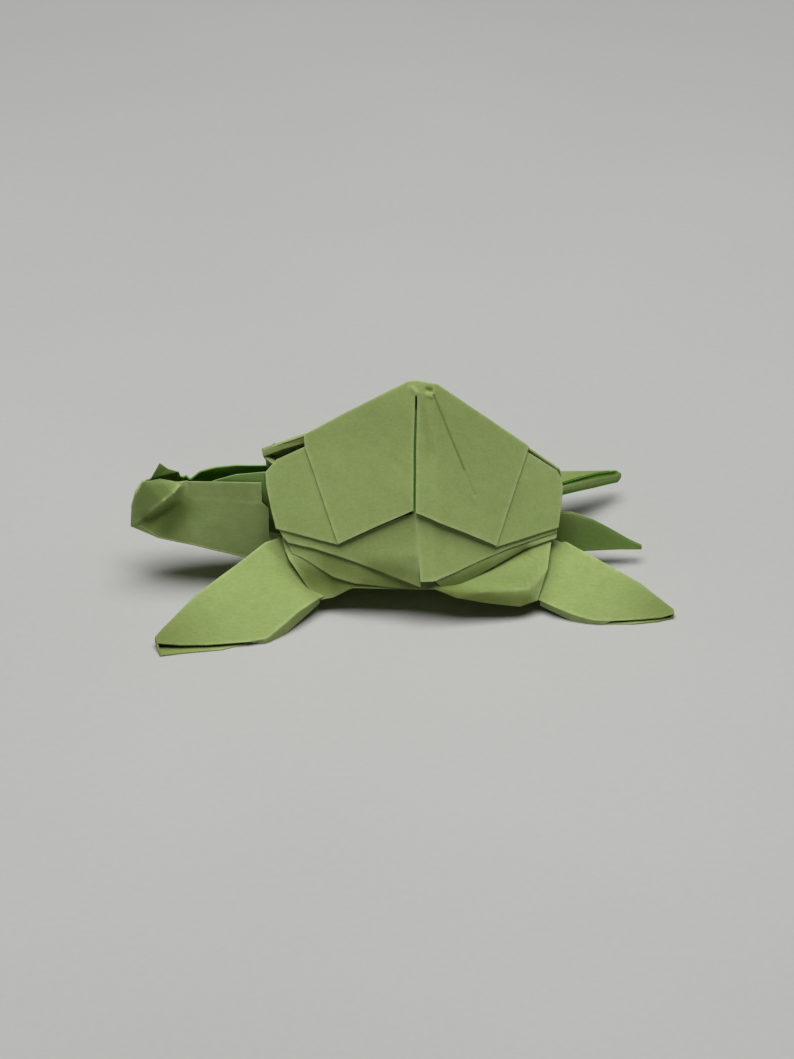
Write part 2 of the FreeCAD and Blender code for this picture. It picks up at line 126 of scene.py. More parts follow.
def distance_to_segment(places: np.ndarray, start: np.ndarray, end: np.ndarray) -> np.ndarray:
    """Distance of each place from a straight line between two points.

    Args:
        places: positions, one a row.
        start: first end of the line.
        end: last end of the line, which may be the same point.

    Returns:
        One distance for each position.
    """
    along = end - start
    length_squared = max(float(along @ along), NO_LENGTH)
    share = np.clip(((places - start) @ along) / length_squared, 0, 1)
    return np.linalg.norm(places - start - share[:, None] * along, axis=1)


@dataclass(frozen=True)
class Press:
    """A place where fingers pushed the paper: a crease where it is long, a dent where it is a point."""

    start: Point
    end: Point
    push: Point              # direction and depth
    width: float
    sharp: bool = False      # a sharp press has a ridge line, a soft one is round

    def shift(self, places: np.ndarray) -> np.ndarray:
        """How far this press moves each place.

        Args:
            places: positions, one a row, in millimetres.

        Returns:
            The shift of each position.
        """
        distance = distance_to_segment(places, np.array(spot(self.start)), np.array(spot(self.end)))
        if self.sharp:
            amount = np.clip(1 - distance / (2 * self.width), 0, 1) ** 2
        else:
            amount = np.exp(-((distance / self.width) ** 2))
        return amount[:, None] * np.array(spot(self.push))[None, :]


class Tone(Enum):
    """Marks painted on the paper: pale wear with painted highlights, and painted shade."""

    WEAR_AND_PAINTED_LIGHT = "wear_and_painted_light"       # worn pale along folds and edges, and painted highlight where light catches the paper
    PAINTED_DEEP_SHADE = "painted_deep_shade"           # painted shade: a full green where light reaches only through other layers, on inner faces and in hollows
    PAINTED_SHADE = "painted_shade"           # painted shade: darker and browner on steep, curled and half hidden faces


@dataclass(frozen=True)
class Shade:
    """A stretch where the paper is painted paler, with wear and painted highlight, or darker, with painted
    shade.
    """

    tone: Tone
    start: Point
    end: Point
    width: float
    depth: float = 1.0
    facing: Point | None = None     # only the surface that faces this way is shaded

    def amount(self, places: np.ndarray, normals: np.ndarray) -> np.ndarray:
        """How strongly each place is shaded.

        Args:
            places: positions, one a row, in millimetres.
            normals: the surface's direction at each position.

        Returns:
            The shade of each position, from 0 to 1.
        """
        reach = distance_to_segment(places, np.array(spot(self.start)), np.array(spot(self.end)))
        amount = self.depth * np.exp(-((reach / self.width) ** 2))
        if self.facing is not None:
            turned = normals @ np.array(spot(self.facing).normalized())
            amount *= np.clip(turned * FACING_SLOPE + FACING_START, 0, 1)
        return amount


@dataclass(frozen=True)
class Fine:
    """A stretch of a leaf that is divided into smaller cells."""

    start: Point
    end: Point
    reach: float             # how far from the line between them the small cells go
    cell: float


def ends_squarely(fold: bmesh.types.BMEdge) -> bool:
    """Whether a fold meets the leaf's open edges at a wide enough angle to be rounded.

    Args:
        fold: the edge between two facets.

    Returns:
        False where an open edge runs off close beside the fold.
    """
    for vert in fold.verts:
        along = fold.other_vert(vert).co - vert.co
        for edge in vert.link_edges:
            if edge.is_boundary and along.angle(edge.other_vert(vert).co - vert.co) < SQUARE_ANGLE:
                return False
    return True


def round_off(sheet: bmesh.types.BMesh, edges: list[bmesh.types.BMEdge], radius: float) -> None:
    """Rounds the edges."""
    bmesh.ops.bevel(sheet, geom=edges, offset=radius, offset_type="OFFSET", affect="EDGES",
                    segments=ROUND_SEGMENTS, profile=0.5, material=-1, clamp_overlap=True)


def read_rows(items: bpy.types.bpy_prop_collection, value: str) -> np.ndarray:
    """A three-part value of each item of a mesh, one item a row.

    Args:
        items: the mesh's vertices or vertex normals.
        value: the name of the value.

    Returns:
        The values.
    """
    rows = np.empty(len(items) * 3)
    items.foreach_get(value, rows)
    return rows.reshape(-1, 3)


@dataclass
class PaperLeaf:
    """A stretch of the folded sheet: flat facets, rounded folds, rounded edges, and painted wear, highlight
    and shade.
    """

    name: str
    facets: list[list[Point]]
    outward: Point
    thickness: float = 0.3
    fold_radius: float = 0.28
    edge_radius: float = 0.12
    cell: float = 0.42
    grid: Grid = Grid.UPRIGHT
    side: Side = Side.NEAR
    wobble: float = 0.10
    presses: list[Press] = field(default_factory=list)
    shades: list[Shade] = field(default_factory=list)
    # painted deep shade over the whole leaf
    inner_shade: float = 0.0
    relax: int = 0                  # how many times the bends are softened
    fine: list[Fine] = field(default_factory=list)

    def build(self) -> bpy.types.Object:
        """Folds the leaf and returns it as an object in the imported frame.

        Returns:
            The finished piece.
        """
        sheet = bmesh.new()
        self._lay_facets(sheet)
        rubbed_lines = self._fold_lines(sheet)
        self._round_folds(sheet)
        self._thicken(sheet)
        self._round_edges(sheet)
        self._divide(sheet)
        self._soften(sheet)
        return self._finish(sheet, rubbed_lines)

    def _lay_facets(self, sheet: bmesh.types.BMesh) -> None:
        """Lays the facets flat, joined where they share corners. The first one faces outward.

        Args:
            sheet: the leaf's mesh in the making.
        """
        corners = {}
        for facet in self.facets:
            for point in facet:
                if corner_name(point) not in corners:
                    corners[corner_name(point)] = sheet.verts.new(spot(point))
        for facet in self.facets:
            sheet.faces.new([corners[corner_name(point)] for point in facet])
        sheet.faces.ensure_lookup_table()
        first = sheet.faces[0]
        bmesh.ops.recalc_face_normals(sheet, faces=sheet.faces[:])
        sheet.normal_update()
        if first.normal.dot(spot(self.outward)) < 0:
            bmesh.ops.reverse_faces(sheet, faces=sheet.faces[:])
        bmesh.ops.triangulate(sheet, faces=[face for face in sheet.faces if len(face.verts) > 3])
        bmesh.ops.dissolve_limit(sheet, angle_limit=FLAT_ANGLE, verts=[], edges=sheet.edges[:])
        sheet.normal_update()

    def _fold_lines(self, sheet: bmesh.types.BMesh) -> list[tuple[np.ndarray, np.ndarray]]:
        """Outer folds and open edges, where hands rub the paper.

        Args:
            sheet: the leaf's mesh in the making.

        Returns:
            Both ends of each line.
        """
        lines = []
        for edge in sheet.edges:
            open_edge = len(edge.link_faces) == 1
            if open_edge or (edge.is_convex and edge.calc_face_angle(0.0) > RUBBED_ANGLE):
                lines.append((np.array(edge.verts[0].co), np.array(edge.verts[1].co)))
        return lines

    def _round_folds(self, sheet: bmesh.types.BMesh) -> None:
        """Rounds each fold between two facets.

        Args:
            sheet: the leaf's mesh in the making.
        """
        folds = [edge for edge in sheet.edges if len(edge.link_faces) == 2
                 and edge.calc_face_angle(0.0) > FOLD_ANGLE and ends_squarely(edge)]
        if folds:
            round_off(sheet, folds, self.fold_radius)

    def _thicken(self, sheet: bmesh.types.BMesh) -> None:
        """Gives the leaf its thickness, behind its facets.

        Args:
            sheet: the leaf's mesh in the making.
        """
        bmesh.ops.solidify(sheet, geom=sheet.faces[:], thickness=self.thickness)
        bmesh.ops.recalc_face_normals(sheet, faces=sheet.faces[:])
        sheet.normal_update()

    def _round_edges(self, sheet: bmesh.types.BMesh) -> None:
        """Rounds the leaf's open edges, where the paper is folded back on itself.

        Args:
            sheet: the leaf's mesh in the making.
        """
        rims = [edge for edge in sheet.edges
                if len(edge.link_faces) == 2 and edge.calc_face_angle(0.0) > RIM_ANGLE]
        round_off(sheet, rims, self.edge_radius)

    def _divide(self, sheet: bmesh.types.BMesh) -> None:
        """Divides the leaf into small cells, so that it can be pressed and crumpled.

        Args:
            sheet: the leaf's mesh in the making.
        """
        for direction in self.grid.value:
            reaches = [vert.co.dot(direction) for vert in sheet.verts]
            count = int((max(reaches) - min(reaches)) / self.cell)
            for step in range(1, count + 1):
                geometry = sheet.verts[:] + sheet.edges[:] + sheet.faces[:]
                place = direction * (min(reaches) + step * self.cell) / direction.length_squared
                bmesh.ops.bisect_plane(sheet, geom=geometry, plane_co=place, plane_no=direction,
                                       dist=CUT_TOLERANCE)
        for stretch in self.fine:
            self._divide_finely(sheet, stretch)

    def _divide_finely(self, sheet: bmesh.types.BMesh, stretch: Fine) -> None:
        """Divides one stretch into smaller cells.

        Args:
            sheet: the leaf's mesh in the making.
            stretch: the stretch and the size of its cells.
        """
        start, end = spot(stretch.start), spot(stretch.end)
        middles = np.array([face.calc_center_median() for face in sheet.faces])
        distances = distance_to_segment(middles, np.array(start), np.array(end))
        faces = [face for face, distance in zip(sheet.faces[:], distances) if distance < stretch.reach]
        geometry = list(dict.fromkeys(part for face in faces for part in (*face.verts, *face.edges, face)))
        for direction in self.grid.value:
            first, last = sorted((start.dot(direction), end.dot(direction)))
            for step in range(int((last - first + 2 * stretch.reach) / stretch.cell) + 1):
                offset = first - stretch.reach + step * stretch.cell
                cut = bmesh.ops.bisect_plane(sheet, geom=geometry, dist=CUT_TOLERANCE, plane_no=direction,
                                             plane_co=direction * offset / direction.length_squared)
                geometry = cut["geom"]

    def _soften(self, sheet: bmesh.types.BMesh) -> None:
        """Lets the bends slacken, away from the leaf's edges.

        Args:
            sheet: the leaf's mesh in the making.
        """
        if not self.relax:
            return
        sheet.normal_update()
        slack = [vert for vert in sheet.verts
                 if all(edge.calc_face_angle(0.0) < SLACK_ANGLE for edge in vert.link_edges)]
        for _ in range(self.relax):
            bmesh.ops.smooth_vert(sheet, verts=slack, factor=0.5, use_axis_x=True, use_axis_y=True,
                                  use_axis_z=True)

    def _tones(self, places: np.ndarray, normals: np.ndarray,
               rubbed_lines: list[tuple[np.ndarray, np.ndarray]]) -> dict[Tone, np.ndarray]:
        """Painted marks: wear with painted highlight, and painted shade.

        Args:
            places: the leaf's positions, one a row.
            normals: the surface's direction at each position.
            rubbed_lines: both ends of each line that hands rub.

        Returns:
            The strength of each tone at each position.
        """
        wear_and_painted_light = np.zeros(len(places))
        for start, end in rubbed_lines:
            wear_and_painted_light = np.maximum(wear_and_painted_light, np.exp(-((distance_to_segment(places, start, end) / RUB_WIDTH) ** 2)))
        tones = {Tone.WEAR_AND_PAINTED_LIGHT: wear_and_painted_light, Tone.PAINTED_DEEP_SHADE: np.full(len(places), self.inner_shade),
                 Tone.PAINTED_SHADE: np.zeros(len(places))}
        for shade in self.shades:
            tones[shade.tone] = np.maximum(tones[shade.tone], shade.amount(places, normals))
        return tones

    def _finish(self, sheet: bmesh.types.BMesh,
                rubbed_lines: list[tuple[np.ndarray, np.ndarray]]) -> bpy.types.Object:
        """Presses and crumples the leaf, marks its wear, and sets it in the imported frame.

        Args:
            sheet: the leaf's mesh in the making.
            rubbed_lines: both ends of each line that hands rub.

        Returns:
            The finished piece.
        """
        mesh = bpy.data.meshes.new(self.name)
        sheet.to_mesh(mesh)
        sheet.free()
        mesh.update()
        places = read_rows(mesh.vertices, "co")
        tones = self._tones(places, read_rows(mesh.vertex_normals, "vector"), rubbed_lines)
        places = places + sum((press.shift(places) for press in self.presses), np.zeros_like(places))
        if self.side is Side.FAR:
            places[:, 1] *= -1
            mesh.flip_normals()
        places = places + crumple(places, self.wobble)
        places[:, 2] = np.maximum(places[:, 2], 0.0)
        places[:, 0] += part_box(NODE)[0].x / MM + HEAD_REACH
        mesh.vertices.foreach_set("co", (places * MM).ravel())
        for tone, values in tones.items():
            layer = mesh.attributes.new(tone.value, "FLOAT", "POINT")
            layer.data.foreach_set("value", values.astype(np.float32))
        mesh.update()
        smooth_by_area(mesh)
        return add_to_scene(self.name, mesh)


def add_to_scene(name: str, data: bpy.types.ID) -> bpy.types.Object:
    """Puts a mesh, lamp or camera into the scene as an object.

    Args:
        name: the object's name.
        data: what it holds.

    Returns:
        The object, at the origin.
    """
    thing = bpy.data.objects.new(name, data)
    bpy.context.scene.collection.objects.link(thing)
    return thing


def crumple(places: np.ndarray, height: float) -> np.ndarray:
    """Slow waves in the paper. They depend on place alone, so layers that lie together move together.

    Args:
        places: positions in millimetres, one a row.
        height: the height of the largest waves.

    Returns:
        The shift of each position.
    """
    noise.seed_set(CRUMPLE_SEED)
    shift = np.zeros_like(places)
    for index, place in enumerate(places):
        for length, share in CRUMPLE_WAVES:
            wave = noise.noise_vector(Vector(place) / length + CRUMPLE_START)
            shift[index] += height * share * np.array(wave)
    return shift


def smooth_by_area(mesh: bpy.types.Mesh) -> None:
    """Smooths a mesh with normals weighted by area, so that flat facets stay flat beside small folds.

    Args:
        mesh: the mesh of a finished piece.
    """
    mesh.polygons.foreach_set("use_smooth", [True] * len(mesh.polygons))
    normals = np.zeros((len(mesh.vertices), 3))
    for polygon in mesh.polygons:
        normals[list(polygon.vertices)] += np.array(polygon.normal) * polygon.area
    lengths = np.linalg.norm(normals, axis=1, keepdims=True)
    normals = normals / np.maximum(lengths, NO_LENGTH)
    mesh.normals_split_custom_set_from_vertices(normals.tolist())


# ---------------------------------------------------------------------------------------------- finishes


class Bench:
    """Node tree of one material, with one way to add any node."""

    def __init__(self, name: str) -> None:
        """Starts an empty material.

        Args:
            name: the material's name.
        """
        self.material = bpy.data.materials.new(name)
        self.material.use_nodes = True
        self.tree = self.material.node_tree
        self.tree.nodes.clear()

    def add(self, kind: str, settings: dict | None = None, inputs: dict | None = None) -> bpy.types.Node:
        """Adds a node.

        Args:
            kind: the node's type.
            settings: properties set before the sockets, such as a Math node's operation.
            inputs: the value, or the socket or signal to link, of each input by name or number.

        Returns:
            The new node.
        """
        node = self.tree.nodes.new(kind)
        for name, value in (settings or {}).items():
            setattr(node, name, value)
        for name, value in (inputs or {}).items():
            socket = node.inputs[name]
            source = value.socket if isinstance(value, Signal) else value
            if isinstance(source, bpy.types.NodeSocket):
                self.tree.links.new(source, socket)
            else:
                socket.default_value = source
        return node

    def noise(self, scale: float, detail: float, place: bpy.types.NodeSocket,
              distortion: float = 0.0) -> "Signal":
        """Noise over a place, from 0 to 1.

        Args:
            scale: how many waves go to a metre.
            detail: how many layers of finer waves lie over them.
            place: where the noise is read.
            distortion: how far the waves are twisted.

        Returns:
            The noise.
        """
        node = self.add("ShaderNodeTexNoise", {},
                        {"Vector": place, "Scale": scale, "Detail": detail, "Distortion": distortion})
        return Signal(self, node.outputs["Fac"])

    def attribute(self, name: str) -> "Signal":
        """A value painted on the mesh."""
        node = self.add("ShaderNodeAttribute", {"attribute_name": name})
        return Signal(self, node.outputs["Fac"])

    def mix(self, share: "Signal | float", first: "bpy.types.NodeSocket | Colour",
            second: "bpy.types.NodeSocket | Colour", blend: str = "MIX") -> bpy.types.NodeSocket:
        """Blend of two colours. The numbers are the places of a Mix node's colour sockets."""
        settings = {"data_type": "RGBA", "blend_type": blend}
        return self.add("ShaderNodeMix", settings, {0: share, 6: first, 7: second}).outputs[2]

    def bump(self, strength: float, depth: float, height: "Signal") -> bpy.types.NodeSocket:
        """Fine relief of the surface, from its height."""
        inputs = {"Strength": strength, "Distance": depth, "Height": height}
        return self.add("ShaderNodeBump", {}, inputs).outputs["Normal"]

    def matt(self, colour: bpy.types.NodeSocket, roughness: "Signal | float", gloss: float,
             normal: bpy.types.NodeSocket) -> bpy.types.Material:
        """Closes the tree with a matt surface.

        Args:
            colour: the surface's colour.
            roughness: its roughness.
            gloss: strength of the reflection at its face.
            normal: its fine relief.

        Returns:
            The finished material.
        """
        shader = self.add("ShaderNodeBsdfPrincipled", {}, {
            "Base Color": colour,
            "Roughness": roughness,
            "Specular IOR Level": gloss,
            "Normal": normal,
        })
        self.add("ShaderNodeOutputMaterial", {}, {"Surface": shader.outputs[0]})
        return self.material


@dataclass(frozen=True)
class Signal:
    """A value in a node tree that takes part in plain sums."""

    bench: Bench
    socket: bpy.types.NodeSocket

    def _join(self, operation: str, first: "Signal | float", second: "Signal | float") -> "Signal":
        """Adds the Math node of one operation."""
        node = self.bench.add("ShaderNodeMath", {"operation": operation}, {0: first, 1: second})
        return Signal(self.bench, node.outputs[0])

    def __add__(self, other: "Signal | float") -> "Signal":
        """Sum."""
        return self._join("ADD", self, other)

    def __radd__(self, other: "Signal | float") -> "Signal":
        """Sum, reflected."""
        return self._join("ADD", other, self)

    def __sub__(self, other: "Signal | float") -> "Signal":
        """Difference."""
        return self._join("SUBTRACT", self, other)

    def __rsub__(self, other: "Signal | float") -> "Signal":
        """Difference, reflected."""
        return self._join("SUBTRACT", other, self)

    def __mul__(self, other: "Signal | float") -> "Signal":
        """Product."""
        return self._join("MULTIPLY", self, other)

    def __rmul__(self, other: "Signal | float") -> "Signal":
        """Product, reflected."""
        return self._join("MULTIPLY", other, self)

    def clamped(self) -> "Signal":
        """The value kept between 0 and 1."""
        node = self.bench.add("ShaderNodeClamp", {}, {0: self})
        return Signal(self.bench, node.outputs[0])

    def between(self, low: float, high: float) -> "Signal":
        """The value's way from low to high, as 0 to 1."""
        return ((self - low) * (1 / (high - low))).clamped()


@dataclass(frozen=True)
class PaperFinish:
    """Dyed origami paper: matt, with cloudy dye, fine fibre, pale rubbed folds with painted highlights, and
    painted shade in dull and deep green.
    """

    dye: Colour = (0.352, 0.452, 0.163, 1)
    cloud: Colour = (0.316, 0.410, 0.140, 1)
    # colours of the painted marks: pale for wear and painted highlight, dull brown-green for painted shade,
    # full green for painted deep shade
    wear_and_painted_light: Colour = (0.470, 0.570, 0.260, 1)
    painted_shade: Colour = (0.165, 0.215, 0.055, 1)
    painted_deep_shade: Colour = (0.105, 0.330, 0.014, 1)
    speck_dark: Colour = (0.90, 0.90, 0.88, 1)
    speck_pale: Colour = (1.08, 1.08, 1.06, 1)
    cloud_scale: float = 170.0
    cloud_share: float = 0.55
    blotch_scale: float = 620.0
    noise_detail: float = 3.0
    mottle: tuple[float, float] = (0.36, 0.64)      # noise at which the dye is all cloud, and all dye
    fibre_scale: float = 2600.0
    fibre_share: float = 0.6
    fibre_detail: float = 4.0
    fibre_twist: float = 0.6
    strand_scale: float = 4160.0
    strand_detail: float = 2.0
    strand_twist: float = 0.3
    strand_run: Point = (0.25, 1.0, 1.0)            # strands are drawn out along the sheet
    grain: tuple[float, float] = (0.3, 0.7)         # noise at which a speck is darkest, and palest
    wear_floor: float = 0.45                        # least share of the wear, where the dye holds best
    wear_patches: tuple[float, float] = (0.35, 0.6)
    wear_depth: float = 0.75
    roughness: float = 0.72
    roughness_change: float = 0.16
    gloss: float = 0.05
    bump_strength: float = 0.5
    bump_depth: float = 0.00006                     # metres

    def material(self) -> bpy.types.Material:
        """The finish as a node material.

        Returns:
            The material.
        """
        bench = Bench("dyed_paper")
        place = bench.add("ShaderNodeTexCoord").outputs["Object"]
        cloud = bench.noise(self.cloud_scale, self.noise_detail, place)
        blotch = bench.noise(self.blotch_scale, self.noise_detail, place)
        fibre = bench.noise(self.fibre_scale, self.fibre_detail, place, self.fibre_twist)
        run = bench.add("ShaderNodeMapping", {}, {"Vector": place, "Scale": self.strand_run})
        strand = bench.noise(self.strand_scale, self.strand_detail, run.outputs["Vector"], self.strand_twist)
        mottle = (cloud * self.cloud_share + blotch * (1 - self.cloud_share)).between(*self.mottle)
        patches = self.wear_floor + (1 - self.wear_floor) * blotch.between(*self.wear_patches)
        # pale wear on folds together with painted highlights, then painted shade, dull and deep
        worn_and_lit = (bench.attribute(Tone.WEAR_AND_PAINTED_LIGHT.value) * patches * self.wear_depth).clamped()
        grain = fibre * self.fibre_share + strand * (1 - self.fibre_share)
        colour = bench.mix(mottle, self.cloud, self.dye)
        colour = bench.mix(worn_and_lit, colour, self.wear_and_painted_light)
        colour = bench.mix(bench.attribute(Tone.PAINTED_SHADE.value), colour, self.painted_shade)
        colour = bench.mix(bench.attribute(Tone.PAINTED_DEEP_SHADE.value), colour, self.painted_deep_shade)
        speck = bench.mix(grain.between(*self.grain), self.speck_dark, self.speck_pale)
        colour = bench.mix(1.0, colour, speck, "MULTIPLY")
        relief = bench.bump(self.bump_strength, self.bump_depth, (grain + blotch) * 0.5)
        return bench.matt(colour, self.roughness + self.roughness_change * blotch, self.gloss, relief)


@dataclass(frozen=True)
class FloorFinish:
    """Plain pale table: matt, with a faint cloudiness."""

    pale: Colour = (0.500, 0.500, 0.485, 1)
    cloud: Colour = (0.465, 0.465, 0.450, 1)
    cloud_scale: float = 9.0
    cloud_share: float = 0.7
    grain_scale: float = 900.0
    noise_detail: float = 3.0
    mottle: tuple[float, float] = (0.3, 0.7)
    roughness: float = 0.85
    gloss: float = 0.15
    bump_strength: float = 0.15
    bump_depth: float = 0.0002      # metres

    def material(self) -> bpy.types.Material:
        """The finish as a node material.

        Returns:
            The material.
        """
        bench = Bench("pale_table")
        place = bench.add("ShaderNodeTexCoord").outputs["Object"]
        cloud = bench.noise(self.cloud_scale, self.noise_detail, place)
        grain = bench.noise(self.grain_scale, self.noise_detail, place)
        mottle = (cloud * self.cloud_share + grain * (1 - self.cloud_share)).between(*self.mottle)
        relief = bench.bump(self.bump_strength, self.bump_depth, grain)
        return bench.matt(bench.mix(mottle, self.cloud, self.pale), self.roughness, self.gloss, relief)


# ------------------------------------------------------------------------------------------------- shell


@dataclass
class Shell:
    """The roof of the turtle's back: four large panels about a blunt crest, and four small ones."""

    peak_x: float = 0.45
    peak_height: float = 31.2
    front_fall: float = 0.559
    rear_fall: float = 0.788
    side_fall: float = 1.5
    crest_height: float = 30.15
    hem_out: float = 9.79
    layer: float = 0.25             # from the large panels down to the small ones
    slit_x: float = -0.42           # middle of the slit, where it starts
    slit_out: float = 1.6
    slit_slant: float = 0.085       # how far it runs forward for each millimetre outward
    wing_sink: float = 0.28         # from the small panels' layer down to the pleat's wings
    pleat_depth: float = 0.75

    def at(self, x: float, out: float, depth: float = 0.0) -> Point:
        """Fold point on the shell, or at a depth square to its surface.

        Args:
            x: place along the turtle.
            out: distance from the centre line.
            depth: how far under the surface it lies.

        Returns:
            The point.
        """
        fall = self.front_fall if x < self.peak_x else self.rear_fall
        steepness = Vector((fall, self.side_fall, 1)).length
        slope = self.peak_height - fall * abs(x - self.peak_x) - self.side_fall * abs(out)
        return (x, out, slope - depth * steepness)

    def line(self, *places: Point) -> list[Point]:
        """Fold points on the shell, each given by x, out and depth."""
        return [self.at(*place) for place in places]

    def under(self, *places: tuple[float, float]) -> list[Point]:
        """Fold points one layer under the large panels, each given by x and out."""
        return [self.at(x, out, self.layer) for x, out in places]

    def half_roof(self, side: Side) -> list[list[Point]]:
        """Facets of one side of the roof, with its slit.

        Args:
            side: the side of the centre line that they lie on.

        Returns:
            The facets.
        """
        sign = side.value
        crest_front = self.at(-1.45, 0)
        crest = (-0.4, 0.0, self.crest_height + 0.05)
        crest_rear = self.at(2.55, 0)
        front_end = self.at(-16.05, 0)
        front_bow = self.at(-15.93, sign * 1.1)
        front_hem = self.at(-11.7, sign * self.hem_out)
        slit_head = self.at(-0.52, sign * 1.25)
        slit_front_top = self.at(-0.69, sign * 1.55)
        slit_rear_top = self.at(-0.33, sign * 1.62, 0.1)
        slit_front = self.at(-1.28, sign * 10.08)
        slit_rear = self.at(-0.93, sign * 10.38)
        hem_bend = (0.06, sign * 10.55, 14.5)
        hem_swell = self.at(2.3, sign * 10.86)
        rear_hem = self.at(10.42, sign * 9.72)
        rear_end = self.at(15.6, 0)
        crease_top = self.at(1.95, sign * 1.1)
        return [
            [front_end, front_bow, front_hem, slit_front, slit_front_top, slit_head, crest_front],
            [slit_head, crest, crest_front],
            [slit_head, slit_rear_top, crease_top, crest_rear, crest],
            [slit_rear_top, slit_rear, hem_bend, crease_top],
            [hem_bend, hem_swell, rear_hem, crease_top],
            [crease_top, rear_hem, rear_end, crest_rear],
        ]

    def roof(self) -> PaperLeaf:
        """The four large panels. Each side is slit down its middle, where the sheet is pleated in.

        Returns:
            The leaf, not yet folded.
        """
        crease_start = self.at(2.0, 1.2)
        crease_end = self.at(7.4, 6.9)
        presses = [
            Press((1.2, 0.95, 29.1), (1.55, 0.95, 28.95), (0, -0.5, -0.35), 0.32),
            Press((1.1, 1.45, 28.5), (1.7, 1.45, 28.2), (0, 0.18, 0.12), 0.3),
            Press((-0.9, 0.8, 29.2), (-0.5, 1.2, 28.8), (0, 0.12, 0.12), 0.4),
            Press((-4.9, 3.44, 23.07), (-4.5, 3.5, 23.0), (0, -0.10, -0.07), 0.3),
            Press((-3.9, 5.6, 20.6), (-2.9, 6.5, 19.9), (0, -0.10, -0.07), 0.3),
            Press(crease_start, crease_end, (0, -0.15, -0.1), 0.22, sharp=True),
        ]
        # painted shade on the upper roof, the narrow facet, the crease, inside the slit and in the pinhole;
        # pale wear at the crest, and a painted highlight on the pinhole's lip
        shades = [
            Shade(Tone.PAINTED_SHADE, (-10.0, 0, 25.0), (10.0, 0, 23.5), 7.5, 0.22),
            Shade(Tone.PAINTED_SHADE, self.at(0.2, 1.9), self.at(1.4, 5.5), 0.9, 0.42, (0, 1, 1)),
            Shade(Tone.PAINTED_SHADE, self.at(1.95, 1.15), self.at(6.0, 5.4), 0.17, 0.85),
            Shade(Tone.PAINTED_DEEP_SHADE, (-0.55, 1.7, 27.9), (-1.0, 10.0, 15.1), 0.16, 0.6),
            Shade(Tone.WEAR_AND_PAINTED_LIGHT, (-1.5, 0.4, 29.5), (-0.3, 1.35, 28.8), 0.4),
            Shade(Tone.WEAR_AND_PAINTED_LIGHT, (1.0, 1.2, 28.85), (1.5, 1.1, 28.85), 0.2),
            Shade(Tone.PAINTED_SHADE, (1.22, 0.9, 29.25), (1.3, 0.9, 29.2), 0.22),
        ]
        fine = [Fine((-0.6, 0.8, 29.4), (1.6, 1.0, 28.9), 1.5, 0.17),
                Fine(crease_start, crease_end, 0.7, 0.15)]
        facets = self.half_roof(Side.NEAR) + self.half_roof(Side.FAR)
        return PaperLeaf("large_panels", facets, (0, 0, 1), presses=presses, shades=shades, relax=10,
                         fine=fine)

    def side_pleat(self, side: Side) -> PaperLeaf:
        """The channel behind the slit of one side, with a wing under the roof at both of its edges.

        Args:
            side: the side of the centre line that it lies on.

        Returns:
            The leaf, not yet folded.
        """
        wing_depth = self.layer + self.wing_sink
        rows = []
        for out, wing, gap in ((1.9, 0.4, 0.14), (9.6, 0.9, 0.16)):
            middle = self.slit_x - self.slit_slant * (out - self.slit_out)
            rows.append(self.line(
                (middle - gap - wing, out, wing_depth),
                (middle - gap, out, wing_depth),
                (middle - gap, out, self.pleat_depth),
                (middle + gap, out, self.pleat_depth),
                (middle + gap, out, wing_depth),
                (middle + gap + wing, out, wing_depth),
            ))
        upper, lower = rows
        # the channel is painted in deep shade
        return PaperLeaf(side.label("side_pleat"), strip(lower, upper), (0, 1, 1), thickness=0.12,
                         fold_radius=0.04, edge_radius=0.03, side=side, inner_shade=0.8)

    def small_front_panel(self) -> PaperLeaf:
        """Near small panel in front, tucked under the large one.

        Returns:
            The leaf, not yet folded.
        """
        facet = self.under((-13.5, 0.85), (-16.17, 0.75), (-20.0, 0.6), (-21.6, 1.15), (-21.5, 2.3),
                           (-20.95, 4.2), (-20.35, 5.9), (-11.73, 9.62), (-10.4, 9.2))
        return PaperLeaf("small_front_panel_near", [facet], (0, 1, 1))

    def small_rear_panel(self) -> PaperLeaf:
        """Near small panel behind, tucked under the large one.

        Returns:
            The leaf, not yet folded.
        """
        facet = self.under((13.4, 0.3), (15.58, 0.35), (19.6, 0.2), (20.25, 0.6), (20.45, 1.3),
                           (20.15, 2.6), (19.55, 4.75), (10.42, 9.6), (9.4, 9.2))
        return PaperLeaf("small_rear_panel_near", [facet], (0, 1, 1))

    def sprung_front_panel(self) -> PaperLeaf:
        """Far small panel in front. Its upper edge springs up in a lip and hooks over the near one.

        Returns:
            The leaf, not yet folded.
        """
        corner, hem, inner_hem = self.under((-20.1, 5.97), (-11.7, 9.75), (-10.5, 9.3))
        bend_inner = self.at(-13.3, 2.5, self.layer)
        bend_front = self.at(-20.9, 2.8, -0.1)
        inner_top = (-13.6, 0.6, 21.9)
        lip_start = (-16.1, 0.45, 21.75)
        lip_middle = (-18.95, 0.95, 20.5)
        lip_end = (-21.95, 1.5, 19.05)
        hook_bend = (-21.75, 0.8, 18.1)
        hook = (-20.35, -0.15, 17.35)
        hook_root = (-21.2, 2.4, 16.2)
        facets = [
            [corner, bend_front, bend_inner, inner_hem, hem],
            [bend_front, lip_end, lip_middle, lip_start, inner_top, bend_inner],
            [bend_front, hook_root, hook_bend, lip_end],
            [hook_root, hook, hook_bend],
        ]
        return PaperLeaf("sprung_front_panel_far", facets, (-0.3, 1, 1), thickness=0.35, side=Side.FAR)

    def lip_curl(self) -> PaperLeaf:
        """The rim of the sprung panel, which rolls over towards the near side.

        Returns:
            The leaf, not yet folded.
        """
        rim = [(-22.0, 1.35, 18.9), (-19.0, 0.85, 20.35), (-15.9, 0.35, 21.6)]
        curl = [(-21.7, 0.6, 18.25), (-18.9, 0.2, 19.6), (-15.8, -0.15, 20.65)]
